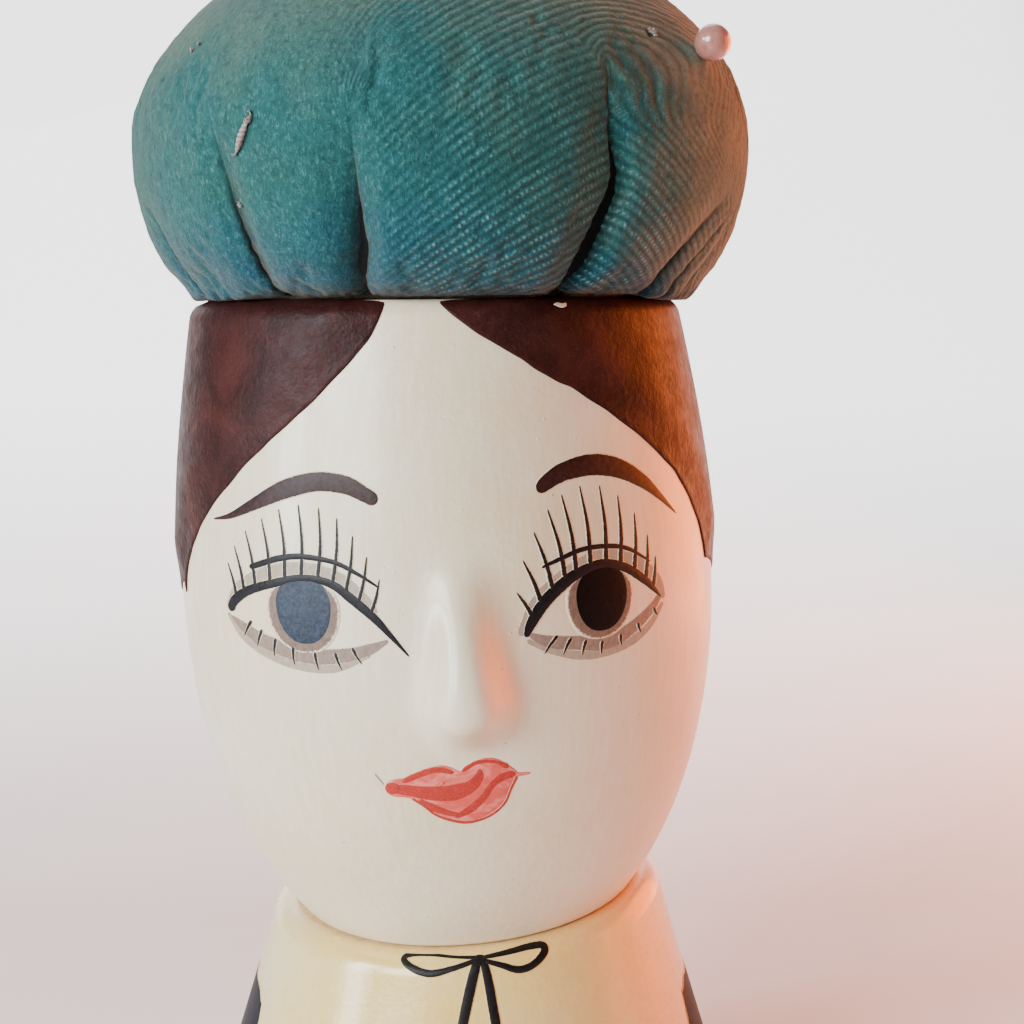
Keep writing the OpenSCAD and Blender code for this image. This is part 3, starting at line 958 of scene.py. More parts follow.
def build_eyes():
    painted("eye_shadow", strokes([LEFT_PALE, RIGHT_PALE, LEFT_OVER, RIGHT_OVER], 0.02, 0.3), PALE_INK)
    painted("lower_lids", strokes([LEFT_BAND, RIGHT_BAND], 0.03, 0.25), SHADE_INK)
    rings = [ellipse(-16.3, 85.9, 4.05, 3.4, 5.0, 2.2), ellipse(15.55, 85.3, 3.95, 3.4, 4.7, 2.2)]
    painted("iris_rings", [patch(outline, on_face, 0.045) for outline in rings], RING_INK)
    left_iris = ellipse(-16.25, 86.3, 3.15, 3.2, 4.4, 2.25)
    right_iris = ellipse(15.75, 85.6, 3.1, 3.3, 4.2, 2.25)
    # the left iris carries a painted reflection of the window in slate blue; the right one is plain black
    painted("left_iris", [patch(left_iris, on_face, 0.07, 0.05)], IRIS_REFLECTION_INK)
    painted("right_iris", [patch(right_iris, on_face, 0.07, 0.05)], IRIS_INK)
    painted("upper_lids", strokes([LEFT_LID, RIGHT_LID, LEFT_CREASE, RIGHT_CREASE], 0.1, 0.15), LINE_INK)
    build_lashes()
    painted("eyebrows", strokes([LEFT_BROW, RIGHT_BROW], 0.08, 0.12), BROW_INK)


def build_lashes():
    left = lashes([p[:2] for p in LEFT_LID[1:8]], 11, lambda s: 3.9 + 3.9 * math.sin(math.pi * s),
                  lambda s: -13 + 30 * s**1.1, 0.62)
    right = lashes([p[:2] for p in RIGHT_LID[1:9]], 11,
                   lambda s: 3.4 + 5.4 * math.sin(math.pi * s**0.95), lambda s: -30 + 38 * s**0.6, 0.78)
    painted("upper_lashes", left + right, LASH_INK)
    under_left = [(-22.3, 84.2), (-20.4, 82.9), (-17.6, 81.7), (-14, 81.2), (-11.0, 81.9)]
    under_right = [(10.4, 81.9), (12.8, 81.2), (15.6, 80.5), (19, 81.2), (22.2, 83.0)]
    ticks = lashes(under_left, 7, lambda s: -2.0, lambda s: 28 - 56 * s, 0.55, 0.02, 0.98)
    ticks += lashes(under_right, 7, lambda s: -1.1 - 1.3 * (1 - s) ** 2, lambda s: 40 - 66 * s, 0.6,
                    0.02, 0.98)
    painted("lower_lashes", ticks, LASH_INK)


def build_lips():
    films = [patch(LIPS, on_face, 0.07, 0.06, centre=(-1.2, 65.8), rings=22, sides=200),
             stroke([(5.0, 66.8, 0.7), (6.0, 66.8, 0.45), (7.0, 66.8, 0.35)], on_face, 0.06, 0.4)]
    painted("lips", films, LIP_PAINT)
    reds = strokes(LIP_STROKES, 0.11, 0.35)
    reds.append(patch(ellipse(-7.9, 66.05, 0.85, 0.8, 0.8), on_face, 0.12, 0.15, rings=6, sides=40))
    painted("lip_strokes", reds, LIP_RED)
    dash = [(-9.7, 67.7, 0.2), (-9.2, 67.0, 0.3), (-8.8, 66.4, 0.15)]
    painted("lip_dash", strokes([dash], 0.05, 0.6), DASH_INK)


BOW_LINES = [
    [(-0.3, 43.2, 0.5), (-3.0, 43.25, 0.4), (-6.0, 43.4, 0.45), (-8.4, 43.2, 0.7), (-9.0, 42.5, 0.8),
     (-7.8, 41.7, 0.95), (-5.8, 41.3, 0.9), (-3.2, 42.0, 0.7), (-0.6, 42.9, 0.6)],
    [(0.3, 43.2, 0.5), (3.0, 43.6, 0.7), (5.8, 44.0, 0.85), (7.4, 43.9, 0.95), (7.3, 43.0, 1.0),
     (5.9, 41.9, 0.95), (4.2, 41.6, 0.9), (2.4, 42.2, 0.75), (0.5, 42.8, 0.6)],
    [(-0.4, 43.0, 1.1), (-1.1, 40.6, 1.3), (-1.8, 37.8, 1.3), (-2.6, 34.4, 1.2), (-3.6, 30.4, 1.0),
     (-4.6, 27.0, 0.5)],
    [(0.2, 43.0, 1.0), (0.8, 40.4, 1.15), (1.3, 37.4, 1.2), (2.0, 33.6, 1.15), (3.0, 29.4, 1.0),
     (4.2, 26.0, 0.5)],
]


def build_bow():
    films = [stroke(line, on_bust, 0.13, 0.2) for line in BOW_LINES]
    films.append(patch(ellipse(-0.1, 43.0, 0.9, 0.6, 0.8), on_bust, 0.12, 0.1, rings=6, sides=40))
    painted("neck_bow", films, BOW_INK, body="bust")


DRESS_TOP = 32.5
NECKLINE_LOW, NECKLINE_HALF = 7, 70.5
DRESS_COLUMNS, DRESS_ROWS = 420, 60


def build_dress():
    """The dress: a thin coat round the shoulders, open at the front in a deep round neckline."""
    angle = np.linspace(0, 2 * np.pi, DRESS_COLUMNS, endpoint=False)
    front = np.abs((angle + np.pi + 0.02) % (2 * np.pi) - np.pi)
    open_half = math.radians(NECKLINE_HALF)
    inside = np.clip(front / open_half, 0, 1)
    neckline = NECKLINE_LOW + (DRESS_TOP - 1 - NECKLINE_LOW) * inside**7
    high = np.where(front < open_half, neckline, DRESS_TOP - 1 + smooth((front - open_half) / 0.12))
    high = high + 0.25 * np.sin(angle * 7) + 0.15 * value_noise(
        np.stack([30 * np.sin(angle), 30 * np.cos(angle), angle * 0], -1), 2.5)
    low = FELT_T + 1.0
    outer, ink = [], []
    for s in np.linspace(0, 1, DRESS_ROWS):
        z = low + (high - low) * s
        outer.append(bust_point(angle, z, 0.14 * np.clip((high - z) / 0.4 + 0.3, 0.3, 1)))
        ink.append(np.clip((high - z) / 0.5, 0, 1))
    inner = [bust_point(angle, low + (high - low) * s, UNDER) for s in (1, 0.5, 0)]
    rows = np.array(outer + inner)
    faces = grid_faces(len(rows), DRESS_COLUMNS, True)
    last = (len(rows) - 1) * DRESS_COLUMNS
    for c in range(DRESS_COLUMNS):
        n = (c + 1) % DRESS_COLUMNS
        faces.append([last + c, last + n, n, c])
    points = rows.reshape(-1, 3)
    ink = np.concatenate(ink + [np.ones(DRESS_COLUMNS * 3)])
    obj = mesh_piece("painted_dress", points, faces, [DRESS_PAINT], body="bust", ink=ink)


# ---- the cushion -----------------------------------------------------------------------------
HEM_R, HEM_Z = RECESS_R + 2.4, 0.2
HEM_REST, RIM_SAG = 0.04, 0.7
PIN_SINK, PIN_COLLAR = 1.6, 1.2
GATHER_R = 14.0
VALLEY_WIDTH, GATHER_PULL = 2.6, 6.5
BULGE = np.vstack([
    bezier([(HEM_R, HEM_Z), (CUSHION_R - 1.6, 0.7), (CUSHION_R, CUSHION_MID - 9),
            (CUSHION_R, CUSHION_MID)], 120),
    bezier([(CUSHION_R, CUSHION_MID), (CUSHION_R, CUSHION_MID + 4), (CUSHION_R - 10.6, CUSHION_H),
            (0, CUSHION_H)], 160)[1:],
])
BULGE_ARC = np.concatenate([[0], np.cumsum(np.hypot(*np.diff(BULGE, axis=0).T))])
CAGE_COLUMNS, CAGE_ROWS = 240, 66
COVER_COLUMNS, COVER_ROWS = 840, 300
COVER_T, INSIDE_STEP = 0.8, 6
POLE_R = 0.25
RIB_HEIGHT, PILE_HEIGHT = 0.06, 0.08
SWELL_CAP = 2.5
SIM_SCALE, SIM_FRAMES = 10.0, 20
PRESSURE = 4.0

# Each gather, from the back round by the left to the back: its line as (azimuth from the front,
# height), how high it reaches, the depth of its wide valley and of the sharp fold in it, the
# fold's width to the left and to the right, how far the left side laps over the right, and how
# far the velour right of it is turned, in degrees.
GATHERS = [
    ([(-172, 0), (-171, 6), (-168, 14)], 15, 1.3, 1.1, 0.4, 1.4, 0.2, 0),
    ([(-153, 0), (-155, 6), (-158, 19)], 20, 2.0, 1.7, 1.8, 0.4, 0.4, 4),
    ([(-134, 0), (-133, 6), (-131, 12)], 13, 1.0, 0.9, 0.6, 0.6, 0.0, -3),
    ([(-113, 0), (-112, 6), (-109, 17)], 18, 1.7, 1.4, 0.4, 1.5, 0.3, 2),
    ([(-91, 0), (-92, 6), (-94, 14)], 15, 1.2, 1.1, 1.2, 0.4, 0.0, 0),
    ([(-69, 0), (-70, 6), (-71.5, 12)], 13, 0.8, 0.7, 0.5, 0.5, 0.0, 0),
    ([(-40, 0), (-40.5, 6), (-42.8, 20)], 22, 0.9, 0.8, 0.35, 1.2, 0.0, -6),
    ([(-19, 0), (-16.3, 5), (-16, 19)], 19, 1.9, 1.5, 1.2, 0.35, 0.0, 0),
    ([(24, 0), (25.9, 4), (27.8, 8), (29.3, 10.4), (29.5, 12.6), (27.8, 16), (26.6, 20)],
     25, 2.6, 2.3, 0.3, 1.2, 0.7, 34),
    ([(49, 0), (53, 5), (59, 11)], 13, 1.2, 1.1, 1.0, 0.5, 0.3, 32),
    ([(57, 0), (60, 5), (65, 10)], 11, 0.8, 0.9, 0.7, 0.4, 0.2, 32),
    ([(66, 0), (68, 5), (71, 11)], 12, 0.8, 0.8, 0.6, 0.4, 0.2, 30),
    ([(86, 0), (88, 6), (90, 16)], 17, 1.9, 1.5, 1.4, 0.4, 0.4, 24),
    ([(104, 0), (103, 6), (101, 12)], 14, 1.1, 1.0, 0.5, 1.1, 0.0, 18),
    ([(121, 0), (123, 6), (126, 18)], 19, 2.0, 1.6, 0.4, 1.8, 0.5, 12),
    ([(139, 0), (138, 6), (137, 12)], 13, 1.0, 0.9, 0.9, 0.4, 0.0, 6),
    ([(156, 0), (157, 6), (160, 16)], 17, 1.7, 1.4, 1.6, 0.4, 0.2, 0),
]
# Old pinholes, as (azimuth, height).
PINHOLE_DEPTH, PINHOLE_R = 0.5, 0.45
PINHOLES = [(40.3, 27.2), (16.9, 26.2), (15.7, 27.5), (-8, 33), (-60, 24), (140, 26), (-120, 30)]


def gather_shift(line, height):
    """How far a gather has wandered sideways from where it starts, in degrees."""
    azimuth, z = np.array(line, float).T
    return np.interp(height, z, azimuth) - azimuth[0]


def wrapped(degrees):
    return (degrees + 180) % 360 - 180


def wander(column, height):
    """Azimuth at a column and height: columns near a gather follow its line."""
    azimuth = column + 0 * height
    for line, *_ in GATHERS:
        near = np.exp(-(wrapped(column - line[0][0]) / GATHER_PULL) ** 2)
        azimuth = azimuth + near * gather_shift(line, height)
    return azimuth


def gather_strength(reach, height):
    """1 low down on a gather, a little less at the hem, and 0 above its reach."""
    return (1 - smooth(height / reach)) ** 0.8 * (0.6 + 0.4 * smooth(height / 4))


def bulge_at(arc):
    return np.interp(arc, BULGE_ARC, BULGE[:, 0]), np.interp(arc, BULGE_ARC, BULGE[:, 1])


def crown_points(radius, azimuth, height):
    return turned_point(radius, np.radians(azimuth) + 0 * (radius + height), height)


def cushion_cage():
    """Rows of the gathered bag before it is stuffed, from the hem to the top, and its valleys."""
    column = np.linspace(-180, 180, CAGE_COLUMNS, endpoint=False)[None, :]
    end = BULGE_ARC[-1] - POLE_R
    arc = np.linspace(0, end, CAGE_ROWS)[:, None]
    radius, height = bulge_at(arc)
    valley = np.zeros((CAGE_ROWS, CAGE_COLUMNS))
    for line, reach, depth, *_ in GATHERS:
        across = np.radians(wrapped(column - line[0][0])) * CUSHION_R
        valley = valley + depth * gather_strength(reach, height) * np.exp(-(across / VALLEY_WIDTH) ** 2)
    slack = 0.02 * CUSHION_R * smooth(radius / CUSHION_R)
    lumps = 0.35 * smooth(radius / 8) * value_noise(crown_points(CUSHION_R, column, height), 13)
    points = crown_points(radius - slack - valley + lumps, wander(column, height), height)
    return points, valley


def hold_points(bag, cage, valley):
    """Pins the bag at its hem and at the point that closes it there, and less firmly in its valleys."""
    hold = np.clip(valley / 2.2, 0, 1) ** 0.7
    hold[0] = 1
    hold[1] = np.maximum(hold[1], 0.6)
    group = bag.vertex_groups.new(name="held")
    for i, weight in enumerate(hold.ravel()):
        if weight > 0.02:
            group.add([i], float(weight), "REPLACE")
    group.add([cage.shape[0] * cage.shape[1]], 1.0, "REPLACE")


def add_cloth(bag):
    """Cloth with air pressure inside and no gravity."""
    cloth = bag.modifiers.new("cloth", "CLOTH")
    s = cloth.settings
    s.quality = 6
    s.mass = 0.02
    s.tension_stiffness = s.compression_stiffness = 12
    s.shear_stiffness = 6
    s.bending_stiffness = 0.4
    s.use_pressure = True
    s.uniform_pressure_force = PRESSURE
    s.shrink_min = -0.015
    s.vertex_group_mass = "held"
    s.pin_stiffness = 1.0
    s.effector_weights.gravity = 0
    cloth.collision_settings.use_collision = False


def swollen(cage, valley):
    """The cage after the cloth simulation, no point of it moved by more than the cap."""
    points, faces = capped_grid(cage)
    mesh = bpy.data.meshes.new("swelling")
    mesh.from_pydata((points * MM * SIM_SCALE).tolist(), [], faces)
    bag = bpy.data.objects.new("swelling", mesh)
    bpy.context.scene.collection.objects.link(bag)
    hold_points(bag, cage, valley)
    add_cloth(bag)
    scene = bpy.context.scene
    for number in range(1, SIM_FRAMES + 1):
        scene.frame_set(number)
    evaluated = bag.evaluated_get(bpy.context.evaluated_depsgraph_get())
    result = np.empty(len(points) * 3)
    evaluated.data.vertices.foreach_get("co", result)
    scene.frame_set(1)
    bpy.data.objects.remove(bag)
    bpy.data.meshes.remove(mesh)
    moved_by = result.reshape(-1, 3) / (MM * SIM_SCALE) - points
    reach = np.linalg.norm(moved_by, axis=1, keepdims=True)
    points = points + moved_by * np.minimum(1, SWELL_CAP / np.maximum(reach, 1e-6))
    return points[:-2].reshape(cage.shape)


def spline_weights(positions, count, closed):
    """A matrix that takes count grid values to Catmull-Rom values at fractional positions."""
    i = np.floor(positions).astype(int)
    f = positions - i
    taps = [0.5 * (-f + 2 * f**2 - f**3), 0.5 * (2 - 5 * f**2 + 3 * f**3),
            0.5 * (f + 4 * f**2 - 3 * f**3), 0.5 * (-f**2 + f**3)]
    weights = np.zeros((len(positions), count))
    for offset, tap in zip((-1, 0, 1, 2), taps):
        index = (i + offset) % count if closed else np.clip(i + offset, 0, count - 1)
        np.add.at(weights, (np.arange(len(positions)), index), tap)
    return weights


def refined(cage, rows, columns):
    """The cage evaluated on a finer grid; rows and columns are fractional cage positions."""
    w_rows = spline_weights(rows, cage.shape[0], False)
    w_columns = spline_weights(columns, cage.shape[1], True)
    return np.einsum("ri,cj,ijk->rck", w_rows, w_columns, cage, optimize=True)


def cover_columns():
    """Fine columns in degrees, closer together at the gathers."""
    spread = np.linspace(-180, 180, 7201)
    density = np.ones(len(spread))
    for line, *_ in GATHERS:
        density += 3.0 * np.exp(-(wrapped(spread - line[0][0]) / 1.6) ** 2)
    total = np.concatenate([[0], np.cumsum((density[1:] + density[:-1]) / 2)])
    return np.interp(np.linspace(0, total[-1], COVER_COLUMNS, endpoint=False), total, spread)


def grid_normals(points):
    """Outward normals of a ring grid that runs up to a pole, where each column's are carried over."""
    along = np.gradient(points, axis=0)
    across = np.roll(points, -1, 1) - np.roll(points, 1, 1)
    n = np.cross(across, along)
    n = n / np.maximum(np.linalg.norm(n, axis=-1, keepdims=True), 1e-12)
    n[-3:] = n[-4]
    return n


def panels():
    """The middle of each stretch of velour between gathers and how far it is turned, in degrees."""
    starts = [g[0][0][0] for g in GATHERS]
    edges = [starts[-1] - 360] + starts + [starts[0] + 360]
    middles = [(a + b) / 2 for a, b in zip(edges, edges[1:])]
    return middles, [GATHERS[-1][-1]] + [g[-1] for g in GATHERS]


def flat_cloth(column, arc, height):
    """Where each point of the cover lies on the flat disc of velour, in millimetres.

    Each stretch between gathers keeps its true size, and the gathers swallow what is left over.
    """
    from_top = BULGE_ARC[-1] - arc
    kept = np.minimum(1, bulge_at(arc)[0] / np.maximum(from_top, 1e-3))
    turned = 1 - smooth((height - 17) / 14)
    middles, turns = panels()
    azimuth = middles[0] * (1 - kept) + turns[0] * turned + kept * wander(column, height)
    for i, (line, reach, *_) in enumerate(GATHERS):
        width = 0.5 + 26 * smooth((height - 0.8 * reach) / (0.6 * reach))
        passed = smooth((column - line[0][0]) / width + 0.5)
        swallowed = (middles[i + 1] - middles[i]) * (1 - kept) + (turns[i + 1] - turns[i]) * turned
        azimuth = azimuth + swallowed * passed
    a = np.radians(azimuth)
    return np.stack([from_top * np.sin(a), -from_top * np.cos(a)], -1)


def add_folds(points, normals, column, height):
    """Cuts the sharp line of each gather into the surface and laps its left side over; also returns a
    painted-shade mask, strongest down in each fold.
    """
    fold = np.zeros(points.shape[:2])
    sideways = np.cross(np.array([0, 0, 1.0]), normals)
    points = points.copy()
    for line, reach, _, depth, left, right, lap, _ in GATHERS:
        across = np.radians(wrapped(column - line[0][0])) * CUSHION_R
        strength = gather_strength(reach, height)
        width = np.where(across < 0, left, right)
        cut = strength * np.exp(-np.abs(across) / width)
        over = lap * strength**2 * np.exp(-np.clip(-across, 0, None) / 1.6) * (across <= 0.02)
        points -= (depth * cut)[..., None] * normals
        points += over[..., None] * sideways
        # painted-shade mask: how far down in a fold each point lies
        fold = np.maximum(fold, strength * np.exp(-np.abs(across) / (width * 0.9 + 0.25)))
    return points, fold


def ribs_and_pile(flat, column, height, points):
    """Height of the ribs, their stitches and the pile above the cover, in millimetres."""
    a = math.radians(RIB_ANGLE)
    across = (-math.sin(a) * flat[..., 0] + math.cos(a) * flat[..., 1]) / RIB_PITCH
    along = (math.cos(a) * flat[..., 0] + math.sin(a) * flat[..., 1]) / STITCH_PITCH
    rib = 0.5 + 0.5 * np.cos(2 * np.pi * across)
    stitch = 0.5 + 0.5 * np.cos(2 * np.pi * (along + STITCH_STAGGER * np.round(across)))
    worn = smooth((column + 21) / 16) * smooth((175 - np.abs(column)) / 25)
    worn = 0.2 + 0.8 * worn * (1 - 0.7 * np.exp(-((column - 66) / 22) ** 2))
    low = 1 - smooth((height - 6) / 14)
    pile = 0.5 * value_noise(points, 0.8) + 0.5 * value_noise(points, 2.4)
    return RIB_HEIGHT * worn * rib * (0.7 + 0.3 * low * stitch) * (1 + 0.5 * pile) + PILE_HEIGHT * pile


def dimples(points):
    """Small pits where pins have been."""
    depth = np.zeros(points.shape[:2])
    for azimuth, z in PINHOLES:
        r = np.interp(z, BULGE[:, 1], BULGE[:, 0])
        centre = crown_points(r, np.array(azimuth), z)
        row, col = nearest(points, centre)
        away = np.linalg.norm(points - points[row, col], axis=-1)
        depth += PINHOLE_DEPTH * np.exp(-(away / PINHOLE_R) ** 2)
    return depth


def round_the_pin(skin, normals):
    """Draws the velour up round the collar of the pearl-headed pin."""
    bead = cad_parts["pin_bead"]
    corners = np.array([bead.matrix_world @ Vector(c) for c in bead.bound_box]) / MM
    centre = moved(CROWN.inverted(), (corners.min(0) + corners.max(0)) / 2)
    row, col = nearest(skin, centre)
    rise = np.clip(np.linalg.norm(skin[row, col] - centre) - PIN_SINK, 0, PIN_COLLAR)
    near = np.linalg.norm(skin - skin[row, col], axis=-1)
    return skin + (rise * np.exp(-(near / 2.2) ** 2))[..., None] * normals


def settled(skin):
    """Rests the lowest part of the bag on the rim, and at its two sides down over the rim's edge."""
    side = smooth((np.abs(skin[..., 0]) - 17) / 9)
    low = np.maximum(skin[..., 2], HEM_REST)
    low = np.maximum(low - 0.6 * side * np.exp(-(((low - 0.7) / 0.9) ** 2)), HEM_REST)
    across = moved(HEAD.inverted() @ CROWN, np.stack([skin[..., 0], skin[..., 1], low], -1))
    over = np.clip(np.hypot(across[..., 0], across[..., 1]) - (RIM_R + HAIR_T - EDGE_R), 0, EDGE_R)
    drop = np.minimum(EDGE_R - np.sqrt(EDGE_R**2 - over**2) + 0.1 * (over > 0), RIM_SAG)
    return np.stack([skin[..., 0], skin[..., 1], low - side * drop * np.exp(-(low / 1.6) ** 2)], -1)


def recess_rows(hem):
    """Rows of the hem turned down into the recess and in under the card."""
    a = np.arctan2(hem[:, 0], -hem[:, 1])
    tuck = 0.25 * np.sin(a * 34) + 0.15 * np.sin(a * 53 + 1)
    places = [(GATHER_R, -RECESS_D + 0.25, 0.15), (19, -RECESS_D + 0.2, 0.15),
              (RECESS_R - 0.6, -RECESS_D + 0.25, 0.1), (RECESS_R - 0.6, -0.6, 0.5),
              (RECESS_R - 0.5, HEM_REST, 0.5)]
    rows = []
    for radius, z, share in places:
        r = radius - share * np.abs(tuck)
        rows.append(turned_point(r, a, z))
    return rows


def build_cushion():
    cage, valley = cushion_cage()
    cage = swollen(cage, valley)
    column = cover_columns()
    rows = np.linspace(0, CAGE_ROWS - 1, COVER_ROWS)
    fine = refined(cage, rows, (column + 180) * CAGE_COLUMNS / 360)
    arc = (rows / (CAGE_ROWS - 1) * (BULGE_ARC[-1] - POLE_R))[:, None]
    height = bulge_at(arc)[1]
    normals = grid_normals(fine)
    inside = fine[::-INSIDE_STEP] - COVER_T * normals[::-INSIDE_STEP]
    fine, fold = add_folds(fine, normals, column[None, :], height)
    flat = flat_cloth(column[None, :], arc, height)
    normals = grid_normals(fine)
    raised = ribs_and_pile(flat, column[None, :], height, fine) - dimples(fine)
    skin = fine + raised[..., None] * normals
    skin = settled(round_the_pin(skin, normals))
    tucked = recess_rows(skin[0])
    lining = [row * np.array([0.96, 0.96, 1]) + np.array([0, 0, 0.5]) for row in tucked[2::-1]]
    grid = np.array(list(inside) + lining + tucked + list(skin))
    points, faces = capped_grid(grid)
    cover = mesh_piece("velour_cover", moved(CROWN, points), faces, [VELOUR])
    store_cloth(cover, grid, skin, flat, fold, height)
    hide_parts("cushion_cover")
    build_stuffing(cage)
    build_lint(skin, normals)


def store_cloth(cover, grid, skin, flat, fold, height):
    """Keeps each point's place on the flat cloth for the shader, and a painted-shade mask: how deep in a
    fold each point is, full on the inside, the lining and the tucked hem.
    """
    count, columns = grid.shape[:2]
    places = np.zeros((count, columns, 3))
    places[-len(skin):, :, :2] = flat
    places[-len(skin):, :, 2] = height
    # painted shade: the rows under the outer skin are fully darkened
    folds = np.ones((count, columns))
    folds[-len(skin):] = fold
    flat_layer = cover.data.attributes.new("flat", "FLOAT_VECTOR", "POINT")
    ends = np.array([[0, 0, CUSHION_H], [0, 0, CUSHION_H]])
    places = np.vstack([places.reshape(-1, 3), ends])
    flat_layer.data.foreach_set("vector", places.ravel().astype(np.float32))
    fold_layer = cover.data.attributes.new("fold", "FLOAT", "POINT")
    fold_layer.data.foreach_set("value", np.append(folds.ravel(), [0, 0]).astype(np.float32))


# Lint caught in the pile: (azimuth, height) along each fibre, its radius, and how much it wriggles.
LINT = [
    ([(-34.0, 17.7), (-34.8, 17.0), (-35.5, 16.3), (-36.2, 15.5), (-36.7, 15.0)], 0.36, 0.2),
    ([(-34.5, 17.6), (-35.2, 16.7), (-36.3, 15.9)], 0.34, 0.25),
    ([(-33.3, 18.3), (-33.8, 18.0), (-34.5, 17.6)], 0.36, 0.12),
    ([(-36.6, 15.1), (-37.4, 14.6), (-38.4, 14.7)], 0.14, 0.1),
    ([(-33.0, 18.1), (-33.3, 18.8), (-33.9, 18.8)], 0.1, 0.1),
    ([(-52.9, 26.6), (-52.0, 26.1), (-51.4, 26.3)], 0.16, 0.1),
    ([(-50.6, 26.9), (-50.2, 26.5)], 0.12, 0.1),
    ([(-40.2, 9.8), (-39.6, 9.3), (-39.0, 9.4)], 0.15, 0.1),
    ([(39.6, 27.6), (40.6, 27.4), (41.0, 26.9)], 0.2, 0.1),
]


def fibre(path, radius, wriggle, skin, normals, seed):
    """A loose fibre lying on the velour as rings of points."""
    line = catmull(path, 12 * len(path))
    centres, outs = [], []
    for i, (azimuth, z) in enumerate(line):
        azimuth = azimuth + wriggle * math.sin(i * 0.7 + 2 * seed)
        target = crown_points(np.interp(z, BULGE[:, 1], BULGE[:, 0]), np.array(azimuth), z)
        row, col = nearest(skin, target)
        out = normals[row, col]
        level = target - skin[row, col]
        level = level - np.dot(level, out) * out
        centres.append(skin[row, col] + level + out * (0.22 + 0.10 * math.sin(i * 0.7 + 2 * seed)))
        outs.append(out)
    a = np.arange(7)[:, None] * 2 * np.pi / 7
    rings = []
    for i, (centre, out) in enumerate(zip(centres, outs)):
        thick = radius * (0.35 + 0.65 * math.sin(math.pi * (i + 0.5) / len(line)))
        along = centres[min(i + 1, len(line) - 1)] - centres[max(i - 1, 0)]
        side = np.cross(along, out)
        side = side / max(np.linalg.norm(side), 1e-6)
        rings.append(centre + thick * (np.cos(a) * side + np.sin(a) * out))
    return capped_grid(moved(CROWN, np.array(rings)))


def build_lint(skin, normals):
    points, faces = joined([fibre(*strand, skin, normals, seed) for seed, strand in enumerate(LINT)])
    lint = mesh_piece("lint", points, faces, [LINT_WOOL])


STUFFING_GAP, TUFT = 1.6, 0.25


def build_stuffing(cage):
    """The wool core: the bag's shape drawn in from the velour, flat where it sits on the card."""
    normals = grid_normals(cage)
    body = cage - STUFFING_GAP * normals
    tufts = TUFT * value_noise(body, 3.0)[..., None] * normals
    body = body - np.abs(tufts)
    body[..., 2] = np.maximum(body[..., 2], 0.1)
    floor = [body[0] * np.array([s, s, 0]) for s in (0.05, 0.5, 0.85)]
    points, faces = capped_grid(np.array(floor + list(body)))
    wool = mesh_piece("wool_core", moved(CROWN, points), faces, [FILLING])
    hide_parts("cushion_filling")


# ---- camera, light and floor -----------------------------------------------------------------
CAMERA_DISTANCE, CAMERA_Z = 200.0, 118.0
CAMERA_AZIMUTH, CAMERA_PITCH, CAMERA_YAW = -2.5, 7.61, 1.5
LENS_MM = 56.5


def look(azimuth, pitch, yaw):
    """Camera rotation: from the front, turned by azimuth about the object and by yaw about itself."""
    return (turn("Z", azimuth - yaw) @ turn("X", 90 - pitch)).to_3x3().to_euler()


def build_camera():
    data = bpy.data.cameras.new("camera")
    data.lens = LENS_MM
    data.sensor_width = 36
    data.clip_start = 0.005
    camera = bpy.data.objects.new("camera", data)
    a = math.radians(CAMERA_AZIMUTH)
    camera.location = Vector((math.sin(a) * CAMERA_DISTANCE, -math.cos(a) * CAMERA_DISTANCE, CAMERA_Z)) * MM
    camera.rotation_euler = look(CAMERA_AZIMUTH, CAMERA_PITCH, CAMERA_YAW)
    bpy.context.scene.collection.objects.link(camera)
    bpy.context.scene.camera = camera


def area_light(name, position, target, size, watts, colour):
    data = bpy.data.lights.new(name, "AREA")
    data.shape = "RECTANGLE"
    data.size, data.size_y = size
    data.energy = watts
    data.color = colour
    lamp = bpy.data.objects.new(name, data)
    lamp.location = Vector(position)
    lamp.rotation_euler = (Vector(target) - Vector(position)).to_track_quat("-Z", "Y").to_euler()
    bpy.context.scene.collection.objects.link(lamp)


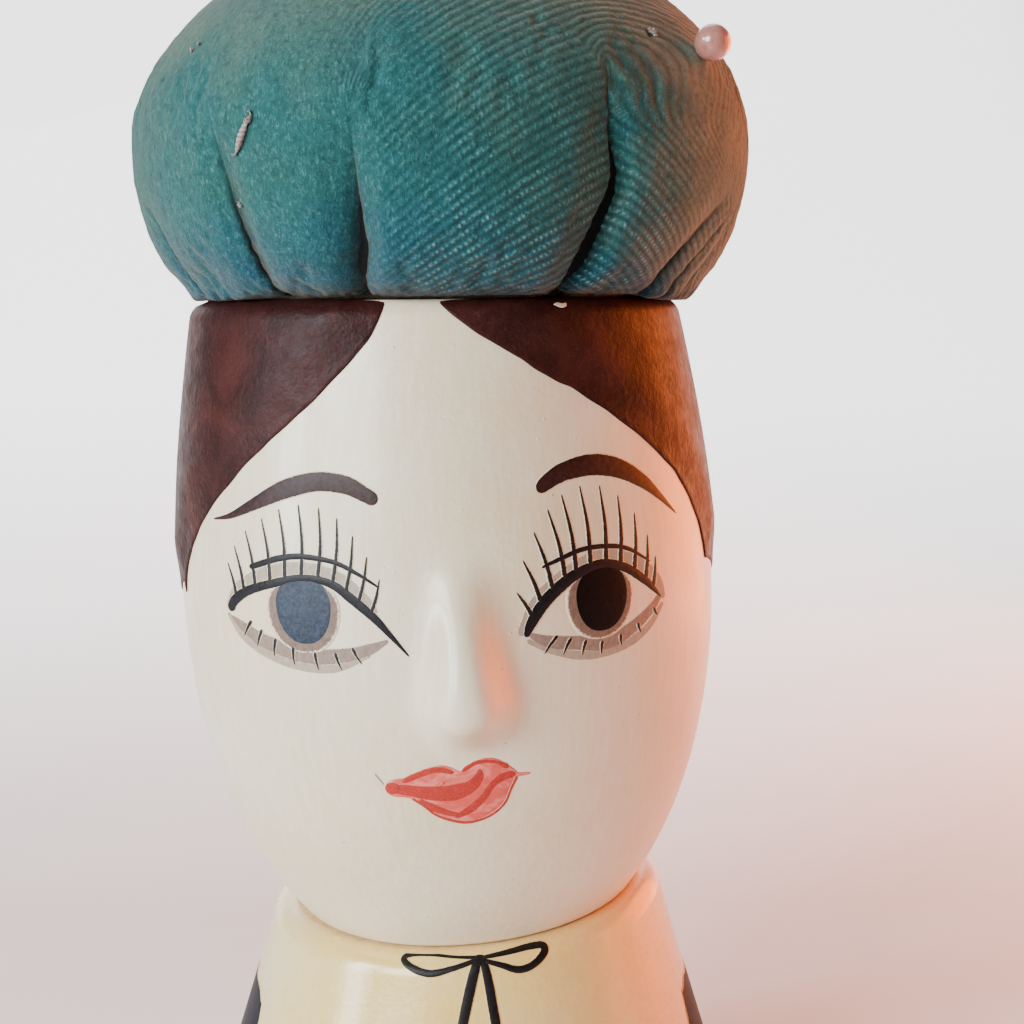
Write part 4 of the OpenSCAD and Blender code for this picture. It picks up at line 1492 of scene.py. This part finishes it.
def build_lights():
    middle = (0, 0, 0.10)
    area_light("front_fill", (-0.58, -0.66, 0.36), middle, (0.40, 0.40), 11.8, (0.93, 0.97, 1.0))
    area_light("window", (-0.66, -0.28, 0.24), middle, (0.14, 0.40), 6.0, (0.80, 0.90, 1.0))
    area_light("warm_wall", (0.36, 0.20, 0.13), middle, (0.26, 0.40), 4.0, (1.0, 0.19, 0.03))
    area_light("warm_side", (0.60, -0.02, 0.10), middle, (0.36, 0.60), 4.2, (1.0, 0.20, 0.05))
    area_light("top", (-0.1, 0.10, 0.80), middle, (0.6, 0.6), 0.6, (1.0, 0.97, 0.94))
    area_light("back", (-0.3, 0.70, 0.40), middle, (0.6, 0.6), 0.5, (1.0, 0.97, 0.94))
    world = bpy.data.worlds.new("studio")
    world.use_nodes = True
    world.node_tree.nodes["Background"].inputs["Color"].default_value = (0.95, 0.96, 1.0, 1)
    world.node_tree.nodes["Background"].inputs["Strength"].default_value = 0.045
    bpy.context.scene.world = world


FLOOR_HALF, SWEEP_START, SWEEP_R, SWEEP_TOP = 3.0, 0.3, 0.7, 3.0


def build_floor():
    """A pale floor that sweeps up behind the object into a bright backdrop."""
    bend = np.linspace(0, np.pi / 2, 25)
    side = [(-FLOOR_HALF, 0.0)] + [(SWEEP_START + SWEEP_R * math.sin(a), SWEEP_R * (1 - math.cos(a)))
                                   for a in bend] + [(SWEEP_START + SWEEP_R, SWEEP_TOP)]
    points = [(x, y, z) for y, z in side for x in (-FLOOR_HALF, FLOOR_HALF)]
    mesh = bpy.data.meshes.new("floor")
    mesh.from_pydata(points, [], [(2 * i, 2 * i + 1, 2 * i + 3, 2 * i + 2) for i in range(len(side) - 1)])
    t = Tree("pale_floor")
    grain = t.noise(0.02, 4, 0.6)
    middle = t.span(t.math("ABSOLUTE", t.axis(t.mm, 0)), 640, 380)
    glow = t.times(t.span(t.axis(t.mm, 1), 100, 600, 0.0, 2.2), middle)
    paper = t.mix(grain, (0.80, 0.79, 0.78, 1), (0.86, 0.85, 0.84, 1))
    mesh.materials.append(t.finish(Base_Color=paper, Roughness=0.8, Emission_Color=(1.0, 1.0, 1.0, 1),
                                   Emission_Strength=glow))
    mesh.polygons.foreach_set("use_smooth", np.ones(len(mesh.polygons), bool))
    floor = bpy.data.objects.new("floor", mesh)
    bpy.context.scene.collection.objects.link(floor)


build_camera()
build_lights()
build_floor()
build_head()
build_bust()
build_hair()
build_chip()
build_eyes()
build_lips()
build_bow()
build_dress()
build_cushion()


def paint_node(node, material):
    """Gives a carried-over CAD node a better material."""
    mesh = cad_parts[node].data
    mesh.materials.clear()
    mesh.materials.append(material)


paint_node("base_felt", FELT)
paint_node("neck_dowel", BARE_WOOD)
paint_node("cushion_board", CARD)
paint_node("gathering_thread", THREAD)
paint_node("pin_bead", PEARL)
paint_node("pin_shaft", STEEL)
